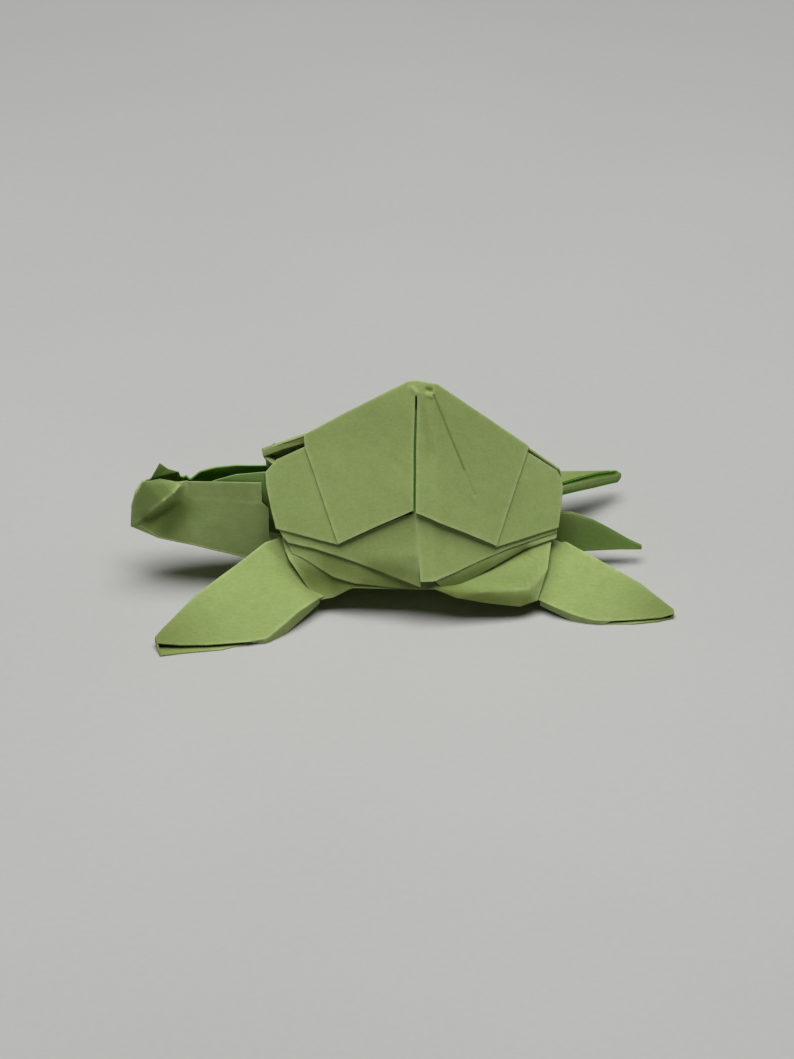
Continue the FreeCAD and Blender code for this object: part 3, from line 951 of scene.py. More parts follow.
        # the curl is painted in shade along its lower edge
        return PaperLeaf("sprung_front_rim_far", strip(curl, rim), (0, -1, 0.8), thickness=0.2,
                         fold_radius=0.1, edge_radius=0.08, cell=0.3, side=Side.FAR,
                         shades=[Shade(Tone.PAINTED_SHADE, curl[0], curl[2], 1.1, 0.9)])

    def small_rear_panel_far(self) -> PaperLeaf:
        """Far small panel behind. Its upper edge stands a little over the ridge.

        Returns:
            The leaf, not yet folded.
        """
        hem = self.under((20.3, 2.4), (19.6, 4.9), (10.5, 9.7), (9.4, 9.2), (13.2, 0.2))
        ridge = self.line((15.7, 0.1, 0.12), (18.0, 0.05, 0.12), (20.0, 0.05, 0.12), (20.4, 0.8, 0.2))
        return PaperLeaf("small_rear_panel_far", [hem + ridge], (0.3, 1, 1), thickness=0.35, side=Side.FAR)

    def leaves(self) -> list[PaperLeaf]:
        """All leaves of the roof, from the outside in.

        Returns:
            The leaves.
        """
        return [
            self.roof(), self.small_front_panel(), self.small_rear_panel(), self.sprung_front_panel(),
            self.lip_curl(), self.small_rear_panel_far(), *(self.side_pleat(side) for side in Side),
        ]


# ------------------------------------------------------------------------------------------------- walls


@dataclass
class SideWalls:
    """The pleated side walls under the roof, and the belly that their inner layers make."""

    shell: Shell
    thickness: float = 0.26
    seam_out: float = 0.2           # where the belly's two halves meet
    seam_height: float = 1.7

    def front_outer(self, side: Side) -> PaperLeaf:
        """Outer layer ahead of the middle fold. Its lower part turns steeply down.

        Args:
            side: the side of the centre line that it lies on.

        Returns:
            The leaf, not yet folded.
        """
        line = self.shell.line
        top = line((-20.2, 5.4, 0.55), (-14.5, 7.7, 0.75), (-9.5, 9.2, 0.78), (-5.0, 9.3, 0.8),
                   (-2.6, 9.4, 0.82), (-0.7, 9.6, 0.85))
        bend = line((-19.4, 6.5, 0.6), (-14.8, 8.2, 0.7), (-10.2, 10.3, 0.68), (-6.2, 11.6, 0.66),
                    (-3.2, 12.4, 0.72), (-0.6, 13.1, 0.8))
        edge = [(-18.7, 7.1, 8.65), (-15.1, 8.6, 8.45), (-10.9, 10.5, 7.8), (-6.0, 12.6, 6.75),
                (-3.2, 13.75, 6.0), (-0.45, 14.75, 5.2)]
        facets = strip(bend, top) + strip(edge, bend)
        # painted shade on the wall's steep lower part
        shades = [
            Shade(Tone.PAINTED_SHADE, (-12.0, 9.6, 8.6), (-1.0, 11.2, 12.5), 3.0, 0.32),
            Shade(Tone.PAINTED_SHADE, (-7.5, 12.2, 6.9), (-3.0, 13.3, 6.9), 1.4, 0.75),
            Shade(Tone.PAINTED_SHADE, (-3.0, 13.4, 6.7), (-0.6, 14.2, 6.2), 1.3, 0.5),
        ]
        return PaperLeaf(side.label("front_outer_wall"), facets, (0, 1, 0.6), thickness=self.thickness,
                         side=side, relax=6, shades=shades)

    def rear_outer(self, side: Side) -> PaperLeaf:
        """Outer layer behind the middle fold, a flat panel with a straight lower edge.

        Args:
            side: the side of the centre line that it lies on.

        Returns:
            The leaf, not yet folded.
        """
        line = self.shell.line
        top = line((-1.05, 9.6, 0.72), (1.4, 9.7, 0.95), (4.1, 9.5, 0.85), (8.4, 8.9, 0.78),
                   (12.5, 7.1, 0.72), (19.6, 3.6, 0.6))
        edge = [(-0.5, 15.0, 6.3), (1.4, 15.0, 6.3), (4.1, 13.6, 6.75), (8.4, 10.95, 7.3),
                (12.5, 8.55, 7.7), (19.3, 4.85, 7.85)]
        # painted shade along the wall's upper part, under the roof's hem
        shades = [Shade(Tone.PAINTED_SHADE, *line((0.5, 11.0, 0.7), (10.0, 9.8, 0.7)), 2.5, 0.2)]
        return PaperLeaf(side.label("rear_outer_wall"), strip(edge, top), (0, 1, 0.6),
                         thickness=self.thickness, side=side, relax=5, shades=shades)

    def front_middle(self, side: Side) -> PaperLeaf:
        """Second layer ahead of the middle fold. It shows below the outer one.

        Args:
            side: the side of the centre line that it lies on.

        Returns:
            The leaf, not yet folded.
        """
        line = self.shell.line
        top = line((-19.3, 5.8, 1.15), (-16.8, 6.7, 1.15), (-12.5, 8.8, 1.15), (-8.5, 10.6, 1.15),
                   (-3.6, 12.0, 1.2), (-1.4, 12.2, 1.3))
        edge = [(-18.2, 7.75, 7.25), (-16.85, 8.4, 6.9), (-12.5, 11.0, 5.1), (-9.6, 12.3, 4.75),
                (-3.4, 13.55, 4.5), (-0.9, 13.9, 4.55)]
        # painted shade over this layer, strongest towards its back end
        shades = [
            Shade(Tone.PAINTED_SHADE, (-13.0, 9.9, 6.6), (-6.0, 13.0, 5.6), 2.2, 0.75),
            Shade(Tone.PAINTED_SHADE, (-8.0, 12.8, 5.2), (-1.0, 14.4, 5.0), 1.6, 1.0),
        ]
        return PaperLeaf(side.label("front_middle_wall"), strip(edge, top), (0, 1, 0.6),
                         thickness=self.thickness, side=side, relax=3, shades=shades)

    def rear_middle(self, side: Side) -> PaperLeaf:
        """Second layer behind the middle fold: a roll that turns under along its lower edge.

        Args:
            side: the side of the centre line that it lies on.

        Returns:
            The leaf, not yet folded.
        """
        line = self.shell.line
        top = line((1.2, 12.4, 1.15), (4.0, 10.8, 1.1), (9.0, 8.6, 1.1), (14.0, 6.1, 1.1),
                   (19.3, 3.7, 1.0))
        bend = [(1.5, 14.7, 6.2), (4.2, 13.45, 6.5), (8.6, 10.9, 7.0), (14.2, 7.6, 7.4), (19.3, 4.95, 7.5)]
        edge = [(2.6, 14.5, 4.7), (5.4, 13.5, 4.8), (9.4, 11.1, 5.8), (14.6, 7.6, 6.85),
                (19.2, 5.4, 7.2)]
        facets = strip(bend, top) + strip(edge, bend)
        # painted shade where the roll turns under
        shades = [Shade(Tone.PAINTED_SHADE, edge[0], edge[2], 1.4, 1.0),
                  Shade(Tone.PAINTED_DEEP_SHADE, edge[0], edge[2], 1.2, 0.1),
                  Shade(Tone.PAINTED_SHADE, edge[2], edge[3], 0.9, 0.9)]
        return PaperLeaf(side.label("rear_middle_wall"), facets, (0, 1, 0.4), thickness=self.thickness,
                         side=side, relax=4, shades=shades)

    def lower(self, side: Side) -> PaperLeaf:
        """Inner layer, which bulges behind, folds in at the rim and makes one half of the belly.

        Args:
            side: the side of the centre line that it lies on.

        Returns:
            The leaf, not yet folded.
        """
        line = self.shell.line
        top = line((-19.5, 5.6, 1.5), (-17.5, 6.6, 1.6), (-12.5, 8.9, 1.6), (-9.9, 10.0, 1.6),
                   (-1.0, 11.8, 1.7), (1.4, 11.6, 1.7), (4.4, 11.0, 1.6), (9.2, 8.4, 1.6),
                   (14.6, 6.0, 1.5), (18.8, 3.6, 1.4))
        middle = [(-18.6, 8.3, 6.6), (-16.9, 9.2, 5.4), (-12.6, 10.9, 3.9), (-9.9, 12.0, 4.4),
                  (-0.95, 13.3, 5.0), (1.4, 14.4, 5.4), (4.4, 15.0, 4.55), (9.2, 14.8, 4.4),
                  (14.6, 13.6, 3.85), (17.6, 9.6, 4.7)]
        valley = [(-19.1, 6.9, 7.4), (-17.2, 7.9, 7.2), (-12.6, 9.9, 6.3), (-9.9, 11.0, 6.2),
                  (-0.95, 12.6, 6.8), (1.4, 12.8, 6.6), (4.4, 12.75, 5.3), (9.2, 10.5, 5.6),
                  (14.6, 7.2, 6.5), (18.5, 5.4, 6.9)]
        rim = [(-15.6, 11.5, 3.0), (-14.4, 12.1, 2.1), (-12.6, 11.9, 2.3), (-9.9, 12.5, 4.1),
               (-0.95, 13.9, 4.4), (1.4, 15.0, 5.0), (4.4, 15.5, 3.8), (9.2, 15.4, 2.7),
               (13.4, 15.1, 1.9), (15.8, 14.0, 2.15)]
        seam = [(x, self.seam_out, self.seam_height) for x, _, _ in middle]
        facets = strip(middle, valley) + strip(valley, top) + strip(rim, middle) + strip(rim, seam)
        # painted shade on the front part, along the lower edge, over the bulge, and in the valley under the
        # roll
        shades = [
            Shade(Tone.PAINTED_SHADE, (-16.0, 10.2, 4.6), (-8.0, 12.4, 4.4), 2.3, 1.0),
            Shade(Tone.PAINTED_SHADE, (-8.0, 12.8, 4.4), (-2.5, 13.7, 4.6), 1.4, 0.9),
            Shade(Tone.PAINTED_SHADE, (2.0, 15.2, 4.4), (14.5, 14.8, 2.4), 1.6, 1.0),
            Shade(Tone.PAINTED_SHADE, (6.0, 13.6, 4.7), (14.5, 11.5, 4.8), 2.8, 0.45),
            Shade(Tone.PAINTED_SHADE, (1.0, 15.0, 5.2), (5.0, 14.4, 4.6), 1.4, 0.7),
            Shade(Tone.PAINTED_SHADE, (11.0, 10.5, 5.0), (17.5, 9.0, 5.2), 2.0, 0.2),
            Shade(Tone.PAINTED_SHADE, valley[6], valley[8], 0.9, 0.9),
        ]
        return PaperLeaf(side.label("lower_wall"), facets, (0, 1, 0.3), thickness=self.thickness,
                         fold_radius=0.15, side=side, grid=Grid.SLOPING, relax=9, shades=shades)

    def leaves(self) -> list[PaperLeaf]:
        """The wall layers of both sides."""
        makers = (self.front_outer, self.rear_outer, self.front_middle, self.rear_middle, self.lower)
        return [make(side) for side in Side for make in makers]


# ---------------------------------------------------------------------------------------------- flippers


@dataclass
class Flipper:
    """A folded flap, open along its outer edge, which stands on a flat strip. Edges run root to tip."""

    name: str
    front_edge: Line                # fold between the flap and the layer under it
    outer_edge: Line                # open edge, from the tip to the heel
    heel_edge: Line                 # from the heel up to the crease
    crease: Line                    # where the flap bends down to the root
    root: Line                      # where the body covers it
    foot: Line                      # edge of the strip on the table, from the tip to the heel
    side: Side = Side.NEAR
    drop: float = 1.15              # from the flap down to the layer under it
    front_inset: float = 0.4        # how far that layer lies back from the front edge
    root_inset: float = 0.5         # and from the root
    tuck: Point = (1.5, -1.2, 0.1)  # how the flap goes on from the root, under the body
    strip_width: float = 2.4

    def leaf(self) -> PaperLeaf:
        """The flap with its foot strip.

        Returns:
            The leaf, not yet folded.
        """
        lowered = moved(self.front_edge, out=-self.front_inset, up=-self.drop)
        under_root = moved(self.root, out=-self.root_inset, up=-self.drop)
        inner = moved(self.foot, out=-self.strip_width)
        heel_low = [(x, out, 0.0) for x, out, _ in self.heel_edge]
        heel_line = [*self.heel_edge, self.crease[-1], self.root[-1]]
        facets = [
            [*self.front_edge, *self.outer_edge, *self.heel_edge, *self.crease[::-1]],
            *strip(self.crease, self.root),
            *strip(self.root, moved(self.root, *self.tuck)),
            [self.root[0], under_root[0], lowered[0], self.front_edge[0], self.crease[0]],
            *strip(self.front_edge, lowered),
            [self.front_edge[-1], lowered[-1], self.foot[0], self.outer_edge[0]],
            [self.outer_edge[-1], self.foot[-1], *heel_low, under_root[-1], *heel_line[::-1]],
            *strip(self.foot, inner),
            [*lowered[::-1], *under_root, *heel_low[::-1], self.foot[-1], *inner[::-1], self.foot[0]],
        ]
        return PaperLeaf(self.name, facets, (0, 0.5, 1), thickness=0.22, fold_radius=0.3, edge_radius=0.09,
                         grid=Grid.FLAT, side=self.side, relax=3, shades=self.shades())

    def shades(self) -> list[Shade]:
        """Painted shade: on the tip, where it faces up, and on the part beside the body.

        Returns:
            The shades.
        """
        tip = self.outer_edge[0]
        marks = [Shade(Tone.PAINTED_SHADE, tip, tip, 7.5, 0.75, (0, 0, 1))]
        return marks + [Shade(Tone.PAINTED_SHADE, start, end, 1.4, 0.45)
                        for start, end in zip(self.root, self.root[1:])]


@dataclass
class Limbs:
    """The four flippers. The far rear one is held clear of the table."""

    hollow_depth: float = 0.6       # how far in the far rear flipper gapes
    keel_inset: float = 0.5         # from its near edge in to its lower fold
    keel_drop: float = 1.05         # and down

    def front(self, side: Side) -> PaperLeaf:
        """Front flipper.

        Args:
            side: the side of the centre line that it lies on.

        Returns:
            The leaf, not yet folded.
        """
        return Flipper(
            side.label("front_flipper"),
            front_edge=[(-21.9, 5.9, 8.2), (-26.13, 9.18, 6.46), (-31.79, 13.63, 4.43),
                        (-36.28, 18.29, 2.22), (-37.5, 19.75, 1.55)],
            outer_edge=[(-37.25, 20.6, 1.07), (-34.0, 20.75, 0.87), (-30.5, 20.75, 0.76),
                        (-24.3, 20.25, 0.72)],
            heel_edge=[(-22.42, 19.9, 0.78), (-21.8, 19.6, 0.86), (-19.4, 17.6, 1.75)],
            crease=[(-22.0, 6.6, 7.85), (-21.0, 10.2, 5.7), (-19.6, 13.2, 4.1), (-17.6, 15.9, 2.5)],
            root=[(-20.4, 5.5, 8.5), (-18.9, 8.1, 5.75), (-17.0, 10.3, 3.9), (-14.5, 12.3, 2.55)],
            foot=[(-37.0, 21.7, 0.0), (-33.8, 21.85, 0.0), (-28.5, 21.3, 0.0), (-23.7, 19.7, 0.0)],
            side=side,
        ).leaf()

    def rear(self) -> PaperLeaf:
        """Near rear flipper.

        Returns:
            The leaf, not yet folded.
        """
        return Flipper(
            "rear_flipper_near",
            front_edge=[(20.7, 4.7, 6.22), (25.22, 7.6, 4.77), (30.54, 11.22, 2.99), (33.5, 14.0, 1.66),
                        (34.9, 15.3, 1.04)],
            outer_edge=[(34.9, 16.1, 0.78), (33.0, 16.7, 0.66), (30.0, 16.95, 0.6), (26.1, 17.3, 0.6)],
            heel_edge=[(24.2, 17.3, 0.66), (22.8, 17.0, 0.8), (20.6, 16.2, 1.2)],
            crease=[(20.3, 5.6, 5.85), (19.0, 8.3, 4.7), (18.2, 11.4, 3.4), (18.2, 15.0, 1.75)],
            root=[(19.9, 4.6, 6.1), (18.5, 7.4, 4.75), (17.1, 10.8, 3.2), (16.3, 13.6, 2.0)],
            foot=[(34.4, 16.4, 0.0), (32.6, 17.0, 0.0), (29.0, 17.5, 0.0), (24.6, 17.4, 0.0)],
            tuck=(-1.5, -1.2, 0.1),
            strip_width=1.6,
        ).leaf()

    def raised(self) -> PaperLeaf:
        """Far rear flipper: a narrow pod that gapes along its near edge.

        Returns:
            The leaf, not yet folded.
        """
        roof_far = [(16.5, 11.8, 7.1), (21.4, 16.4, 5.9), (25.5, 17.5, 5.25), (28.2, 18.4, 4.65),
                    (30.3, 18.85, 4.35)]
        roof_near = [(17.6, 7.6, 7.6), (22.0, 10.8, 7.05), (24.4, 12.8, 6.72), (27.0, 15.2, 6.05),
                     (30.0, 17.7, 4.85)]
        strip_top = [(17.6, 7.4, 7.0), (22.0, 10.6, 6.55), (24.4, 12.6, 6.02), (27.0, 14.9, 5.2),
                     (30.3, 17.8, 3.9)]
        strip_low = [(17.6, 7.2, 6.5), (22.0, 10.4, 6.05), (24.4, 12.4, 5.52), (27.0, 14.7, 4.72),
                     (30.1, 17.6, 3.3)]
        keel = moved(strip_low[:-1], out=self.keel_inset, up=-self.keel_drop) + [(30.5, 18.1, 2.7)]
        hollow = [(x, out + self.hollow_depth, 0.5 * (z + roof[2]))
                  for (x, out, z), roof in zip(strip_top, roof_near)]
        base_far = [(16.5, 11.4, 5.2), (21.4, 15.6, 4.6), (25.5, 16.8, 4.0), (28.2, 17.7, 3.4),
                    (30.4, 18.5, 2.85)]
        tip_top = (31.1, 19.0, 3.75)
        tip_low = (31.0, 18.8, 3.0)
        lines = [roof_near, roof_far, base_far, keel, strip_low, strip_top, hollow, roof_near]
        facets = [facet for line, following in zip(lines, lines[1:]) for facet in strip(line, following)]
        facets += [
            [roof_near[-1], roof_far[-1], tip_top, strip_top[-1], hollow[-1]],
            [strip_top[-1], tip_top, tip_low, strip_low[-1]],
            [tip_top, roof_far[-1], base_far[-1], tip_low],
            [tip_low, base_far[-1], keel[-1], strip_low[-1]],
        ]
        # painted shade on the pod's top, in its gape and along its lower fold, and a painted highlight along
        # the lit strip
        shades = [Shade(Tone.PAINTED_SHADE, (22.0, 13.0, 6.5), (30.0, 18.3, 4.5), 4.0, 0.6, (0, 0, 1))]
        for i in range(len(keel) - 1):
            shades += [
                Shade(Tone.PAINTED_DEEP_SHADE, hollow[i], hollow[i + 1], 0.38),
                Shade(Tone.PAINTED_SHADE, hollow[i], hollow[i + 1], 0.45, 0.9),
                Shade(Tone.WEAR_AND_PAINTED_LIGHT, strip_low[i], strip_top[i + 1], 0.5),
                Shade(Tone.PAINTED_DEEP_SHADE, keel[i], keel[i + 1], 0.62),
                Shade(Tone.PAINTED_SHADE, keel[i], keel[i + 1], 0.62, 0.8),
            ]
        return PaperLeaf("rear_flipper_far", facets, (0, 0.3, 1), thickness=0.2, fold_radius=0.12,
                         edge_radius=0.07, cell=0.36, grid=Grid.FLAT, side=Side.FAR, relax=4, shades=shades)

    def leaves(self) -> list[PaperLeaf]:
        """All four flippers."""
        return [self.front(Side.NEAR), self.front(Side.FAR), self.rear(), self.raised()]


# ------------------------------------------------------------------------------------- neck, head, tail


@dataclass
class HeadAndNeck:
    """The strip folded up on both sides of the spine, pinched behind the head."""

    spine: Line = ((-18.3, 3.8, 3.4), (-24.8, 4.0, 4.65), (-31.9, 3.9, 6.8), (-36.8, 2.4, 7.2),
                   (-39.95, 0.5, 8.5))                                              # shell to chin
    crease: Line = ((-31.8, 2.2, 13.35), (-27.2, 2.2, 12.95), (-22.1, 2.2, 12.45))  # along both walls
    rim: Line = ((-32.2, 1.5, 15.7), (-28.6, 1.6, 15.6), (-22.1, 1.75, 15.3))       # near wall's top
    tuft: Point = (-33.6, 2.45, 15.25)
    ridge: Line = ((-34.3, 3.0, 14.6), (-35.8, 2.75, 13.1), (-37.6, 2.0, 11.2))     # tuft to cheek
    ridge_end: Point = (-39.7, 0.8, 8.8)
    front: Line = ((-39.8, 0.7, 13.3), (-40.45, 0.45, 10.9))                        # down the snout
    cell: float = 0.36

    def near_facets(self) -> list[list[Point]]:
        """Facets of the near wall, with the head's flap folded over it.

        Returns:
            The facets.
        """
        keel, crease, top = self.spine, self.crease, self.rim
        tuft, ridge, front = self.tuft, self.ridge, self.front
        low_end = [(-21.2, 2.3, 11.55), (-21.2, 3.2, 7.4)]
        pinch = (-32.6, 1.4, 15.5)
        hollow = [(-33.4, 2.2, 13.3), (-35.1, 1.85, 11.8), (-37.2, 1.4, 10.1)]
        brow = [(-33.9, 1.9, 16.0), (-36.0, 1.6, 15.8), (-38.6, 1.2, 15.75)]
        return [
            [keel[0], keel[1], low_end[1]],
            [keel[1], keel[2], crease[0], crease[1], crease[2], low_end[0], low_end[1]],
            [crease[0], crease[1], top[1], top[0]],
            [crease[1], crease[2], top[2], top[1]],
            [crease[0], top[0], pinch, tuft, hollow[0]],
            [keel[2], hollow[0], crease[0]],
            [keel[2], keel[3], hollow[1], hollow[0]],
            [keel[3], keel[4], hollow[2], hollow[1]],
            [hollow[0], tuft, ridge[0]],
            [hollow[0], ridge[0], ridge[1], hollow[1]],
            [hollow[1], ridge[1], ridge[2], hollow[2]],
            [hollow[2], ridge[2], keel[4]],
            [tuft, pinch, brow[0], brow[1], ridge[0]],
            [ridge[0], brow[1], brow[2], front[0], ridge[1]],
            [ridge[1], front[0], front[1], ridge[2]],
            [ridge[2], front[1], keel[4]],
        ]

    def near_shades(self) -> list[Shade]:
        """Marks on the near wall: painted shade in the hollow beside the head's ridge, pale wear with painted
        highlights on its folds, and painted light on the lower neck and at its back end.

        Returns:
            The shades.
        """
        return [
            Shade(Tone.PAINTED_DEEP_SHADE, (-36.6, 1.6, 14.9), (-38.9, 1.0, 12.6), 1.9, 0.16),
            Shade(Tone.PAINTED_SHADE, (-36.6, 1.6, 14.9), (-38.9, 1.0, 12.6), 2.2, 0.25),
            Shade(Tone.PAINTED_SHADE, (-34.5, 2.4, 12.2), (-38.4, 1.3, 9.3), 1.3, 0.9),
            Shade(Tone.PAINTED_SHADE, (-33.4, 2.6, 12.0), (-35.6, 2.2, 8.8), 1.9, 0.95),
            Shade(Tone.PAINTED_DEEP_SHADE, (-34.0, 2.4, 12.0), (-37.2, 1.7, 9.3), 1.9, 0.1),
            Shade(Tone.WEAR_AND_PAINTED_LIGHT, self.tuft, self.ridge[0], 0.45),
            Shade(Tone.WEAR_AND_PAINTED_LIGHT, self.ridge[0], self.ridge[2], 0.45),
            Shade(Tone.WEAR_AND_PAINTED_LIGHT, self.ridge[2], self.ridge_end, 0.38),
            Shade(Tone.WEAR_AND_PAINTED_LIGHT, self.crease[0], self.crease[2], 0.26, 0.9),
            Shade(Tone.WEAR_AND_PAINTED_LIGHT, self.rim[0], self.rim[2], 0.4, 0.8),
            Shade(Tone.WEAR_AND_PAINTED_LIGHT, (-24.0, 3.6, 7.6), (-31.0, 3.3, 9.0), 3.0, 0.4),
            Shade(Tone.WEAR_AND_PAINTED_LIGHT, (-23.0, 1.8, 15.2), (-23.0, 2.2, 12.6), 0.6, 0.6),
        ]

    def near_wall(self) -> PaperLeaf:
        """Near wall of the neck and the near side of the head. The flap's ridge is pushed out.

        Returns:
            The leaf, not yet folded.
        """
        presses = [
            Press(self.tuft, self.ridge[0], (0, 0.45, 0.3), 0.35),
            Press(self.ridge[0], self.ridge[1], (0, 0.5, 0.3), 0.3),
            Press(self.ridge[1], self.ridge[2], (0, 0.45, 0.25), 0.3),
            Press(self.ridge[2], self.ridge_end, (0, 0.35, 0.2), 0.25),
            Press((-34.6, 2.3, 12.6), (-38.3, 1.4, 9.7), (0, -0.5, -0.1), 0.8),
        ]
        # the whole wall is painted with a faint deep shade
        return PaperLeaf("neck_and_head_near", self.near_facets(), (0, 1, 0), thickness=0.24,
                         fold_radius=0.22, edge_radius=0.09, cell=self.cell, relax=40,
                         shades=self.near_shades(), inner_shade=0.05, presses=presses)

    def far_wall(self) -> PaperLeaf:
        """Far wall of the neck. It is taller, leans over the near one, and runs on into the shell.

        Returns:
            The leaf, not yet folded.
        """
        keel = self.spine
        crease = [self.crease[0], self.crease[2], (-17.8, 2.2, 12.0)]
        leaf = [(-32.1, 0.45, 15.0), (-30.7, 0.6, 16.2), (-28.6, 0.7, 16.75), (-25.6, 0.8, 16.95),
                (-22.7, 0.8, 16.85), (-18.0, 0.8, 16.6)]
        low_end = [(-21.2, 3.2, 7.4), (-17.8, 3.2, 6.0)]
        pinch = (-32.6, 1.2, 15.2)
        fold_top = (-33.2, 2.2, 14.6)
        fold = (-36.7, 3.1, 12.5)
        ear = [(-33.3, 0.6, 15.3), (-34.0, 0.8, 15.9), (-35.2, 0.95, 16.5), (-36.3, 1.0, 17.45),
               (-37.6, 0.7, 15.1), (-38.3, 1.0, 14.8)]
        facets = [
            [keel[0], keel[1], low_end[0], low_end[1]],
            [keel[1], keel[2], crease[0], crease[1], low_end[0]],
            [low_end[0], crease[1], crease[2], low_end[1]],
            [crease[0], *leaf[:5], crease[1]],
            [crease[1], leaf[4], leaf[5], crease[2]],
            [crease[0], leaf[0], pinch, fold_top],
            [keel[2], keel[3], fold, fold_top, crease[0]],
            [keel[3], keel[4], fold],
            [fold, fold_top, pinch, *ear, *self.front, keel[4]],
        ]
        # painted shade on the inner faces of the tall wall and the ear
        shades = [
            Shade(Tone.PAINTED_DEEP_SHADE, (-32.0, 0.5, 14.9), (-20.0, 0.9, 15.6), 2.4, 0.95, (0, -1, 0)),
            Shade(Tone.PAINTED_DEEP_SHADE, (-33.2, 0.6, 15.4), (-37.8, 0.8, 15.6), 2.2, 0.45, (0, -1, 0)),
            Shade(Tone.PAINTED_SHADE, (-33.2, 0.6, 15.4), (-37.8, 0.8, 15.6), 2.2, 0.4, (0, -1, 0)),
        ]
        return PaperLeaf("neck_and_head_far", facets, (0, 1, 0), thickness=0.22, fold_radius=0.22,
                         edge_radius=0.09, cell=self.cell, side=Side.FAR, relax=3, shades=shades)

    def floor(self) -> PaperLeaf:
        """Strip under the neck between its two walls."""
        return PaperLeaf("neck_spine", strip(self.spine, mirrored(self.spine)), (0, 0, -1),
                         thickness=0.22, fold_radius=0.1, edge_radius=0.08, grid=Grid.FLAT)

    def liner(self) -> PaperLeaf:
        """Inner layer of the neck, which shows as a pale edge inside it.

        Returns:
            The leaf, not yet folded.
        """
        low = [(-30.0, 0.9, 11.0), (-26.0, 1.2, 10.0), (-20.5, 1.4, 9.0)]
        middle = [(-29.6, 1.0, 13.8), (-26.0, 1.3, 13.9), (-20.0, 1.5, 13.6)]
        top = [(-29.0, 0.75, 15.3), (-25.7, 1.0, 16.35), (-20.0, 1.05, 16.75)]
        facets = strip(low, middle) + strip(middle, top)
        # the liner is painted with deep shade
        return PaperLeaf("neck_liner", facets, (0, 1, 0), thickness=0.2, fold_radius=0.2, edge_radius=0.08,
                         cell=self.cell, inner_shade=0.35)

    def nose(self) -> PaperLeaf:
        """Narrow fold that closes the front of the head.

        Returns:
            The leaf, not yet folded.
        """
        line = [(-40.2, 0.4, 8.1), *self.front[::-1], (-38.7, 1.1, 14.8)]
        return PaperLeaf("nose_fold", strip(line, mirrored(line)), (-1, 0, 0), thickness=0.22,
                         fold_radius=0.1, edge_radius=0.08)

    def leaves(self) -> list[PaperLeaf]:
        """All leaves of the neck and head."""
        return [self.near_wall(), self.far_wall(), self.floor(), self.liner(), self.nose()]


@dataclass
class Tail:
    """A narrow triangle folded along its lower edge and open along the top."""

    keel: Line = ((17.0, 1.2, 2.1), (23.7, 1.2, 2.45), (28.6, 0.8, 2.35), (31.9, 0.3, 1.95))
    top: Line = ((17.0, 0.3, 8.4), (22.0, 0.3, 8.15), (24.8, 0.3, 6.95), (27.3, 0.3, 5.4),
                 (29.9, 0.3, 3.65), (32.0, 0.28, 2.5))

    def leaf(self) -> PaperLeaf:
        """Both walls of the tail.

        Returns:
            The leaf, not yet folded.
        """
        wall = [[self.keel[0], self.keel[1], self.top[1], self.top[0]], [*self.keel[1:], *self.top[:0:-1]]]
        other = [mirrored(facet) for facet in wall]
        floor = strip(self.keel, mirrored(self.keel))
        # painted shade over the tail's walls
        shades = [
            Shade(Tone.PAINTED_DEEP_SHADE, (20.0, 0, 5.0), (32.0, 0, 2.5), 5.0, 0.35),
            Shade(Tone.PAINTED_SHADE, (20.0, 0, 5.0), (32.0, 0, 2.5), 5.0, 0.2),
        ]
        return PaperLeaf("tail", wall + other + floor, (0, 1, 0), thickness=0.2, fold_radius=0.15,
                         edge_radius=0.07, wobble=0.06, shades=shades)


# ------------------------------------------------------------------------------------------------ studio


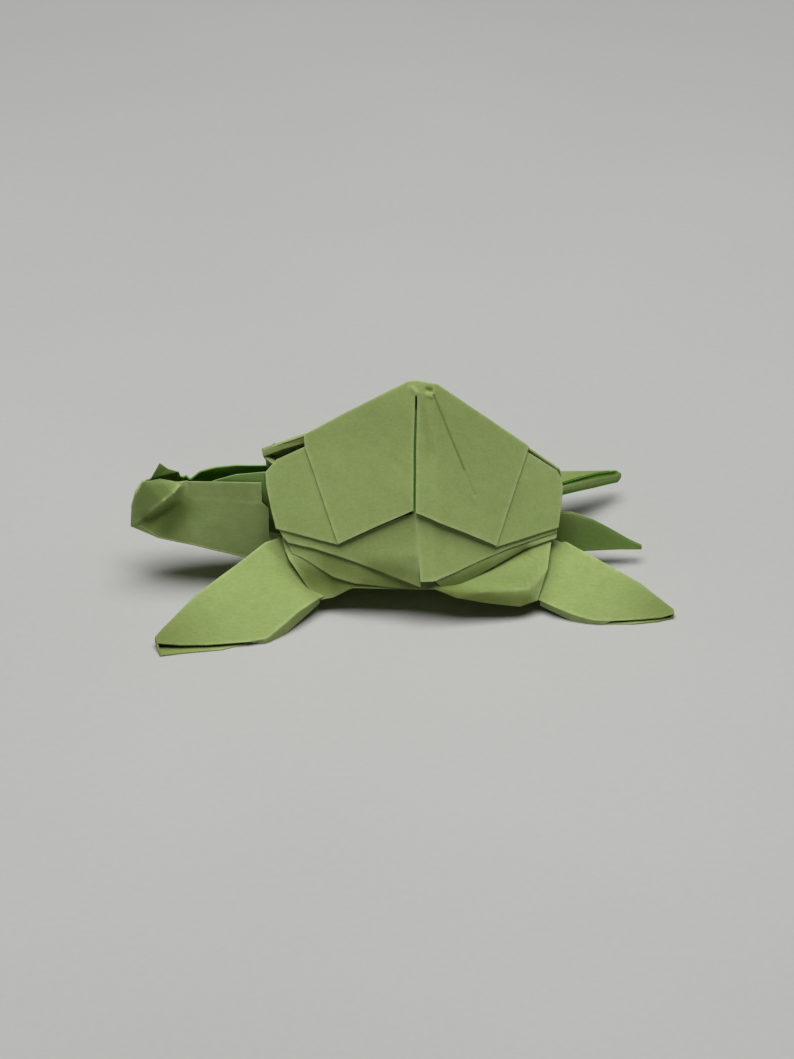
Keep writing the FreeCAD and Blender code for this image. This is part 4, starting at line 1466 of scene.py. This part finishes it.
@dataclass
class Studio:
    """Pale floor, one large soft light overhead, faint light all round, and the camera."""

    floor_size: float = 6.0         # metres
    floor_cells: int = 24
    lamp_size: float = 0.52         # metres
    lamp_height: float = 0.6        # metres
    lamp_power: float = 4.5
    sky: float = 0.035
    camera_aim: Point = (-0.11, -2.80, 4.57)
    camera_distance: float = 537.7
    camera_azimuth: float = -3.0
    camera_elevation: float = 30.0
    camera_lens: float = 127.95
    camera_film: float = 36.0
    camera_nearest: float = 0.01    # metres

    def floor(self) -> None:
        """The table top, which isn't part of the turtle."""
        sheet = bmesh.new()
        bmesh.ops.create_grid(sheet, x_segments=self.floor_cells, y_segments=self.floor_cells,
                              size=self.floor_size / 2)
        mesh = bpy.data.meshes.new("floor")
        sheet.to_mesh(mesh)
        sheet.free()
        mesh.materials.append(FloorFinish().material())
        add_to_scene("floor", mesh)

    def light(self) -> None:
        """The overhead light and the faint light all round."""
        lamp = bpy.data.lights.new("overhead", "AREA")
        lamp.shape = "SQUARE"
        lamp.size = self.lamp_size
        lamp.energy = self.lamp_power
        add_to_scene("overhead", lamp).location = (0, 0, self.lamp_height)
        world = bpy.data.worlds.new("room")
        world.use_nodes = True
        backdrop = world.node_tree.nodes["Background"]
        backdrop.inputs["Color"].default_value = (1, 1, 1, 1)
        backdrop.inputs["Strength"].default_value = self.sky
        bpy.context.scene.world = world
        bpy.context.scene.view_settings.view_transform = "Standard"

    def camera(self) -> None:
        """The camera, which looks a little down on the near side."""
        azimuth = math.radians(self.camera_azimuth)
        elevation = math.radians(self.camera_elevation)
        back = Vector((math.sin(azimuth) * math.cos(elevation), -math.cos(azimuth) * math.cos(elevation),
                       math.sin(elevation)))        # from the aim towards the camera
        lens = bpy.data.cameras.new("camera")
        lens.lens = self.camera_lens
        lens.sensor_width = self.camera_film
        lens.clip_start = self.camera_nearest
        eye = add_to_scene("camera", lens)
        turn = (-back).to_track_quat("-Z", "Y").to_matrix().to_4x4()
        aim = spot(self.camera_aim) * MM
        eye.matrix_world = Matrix.Translation(aim + back * self.camera_distance * MM) @ turn
        bpy.context.scene.camera = eye


def main() -> None:
    """Builds the studio and every leaf of the turtle."""
    logging.basicConfig(level=logging.INFO, format="%(message)s")
    studio = Studio()
    studio.camera()
    studio.light()
    studio.floor()
    shell = Shell()
    paper = PaperFinish().material()
    leaves = shell.leaves() + SideWalls(shell).leaves() + Limbs().leaves()
    leaves += HeadAndNeck().leaves() + [Tail().leaf()]
    for leaf in leaves:
        piece = leaf.build()
        piece.data.materials.append(paper)
        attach(piece, BODY)
        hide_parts(NODE)
        log.info("%s: %d faces", piece.name, len(piece.data.polygons))


if __name__ == "__main__":
    main()
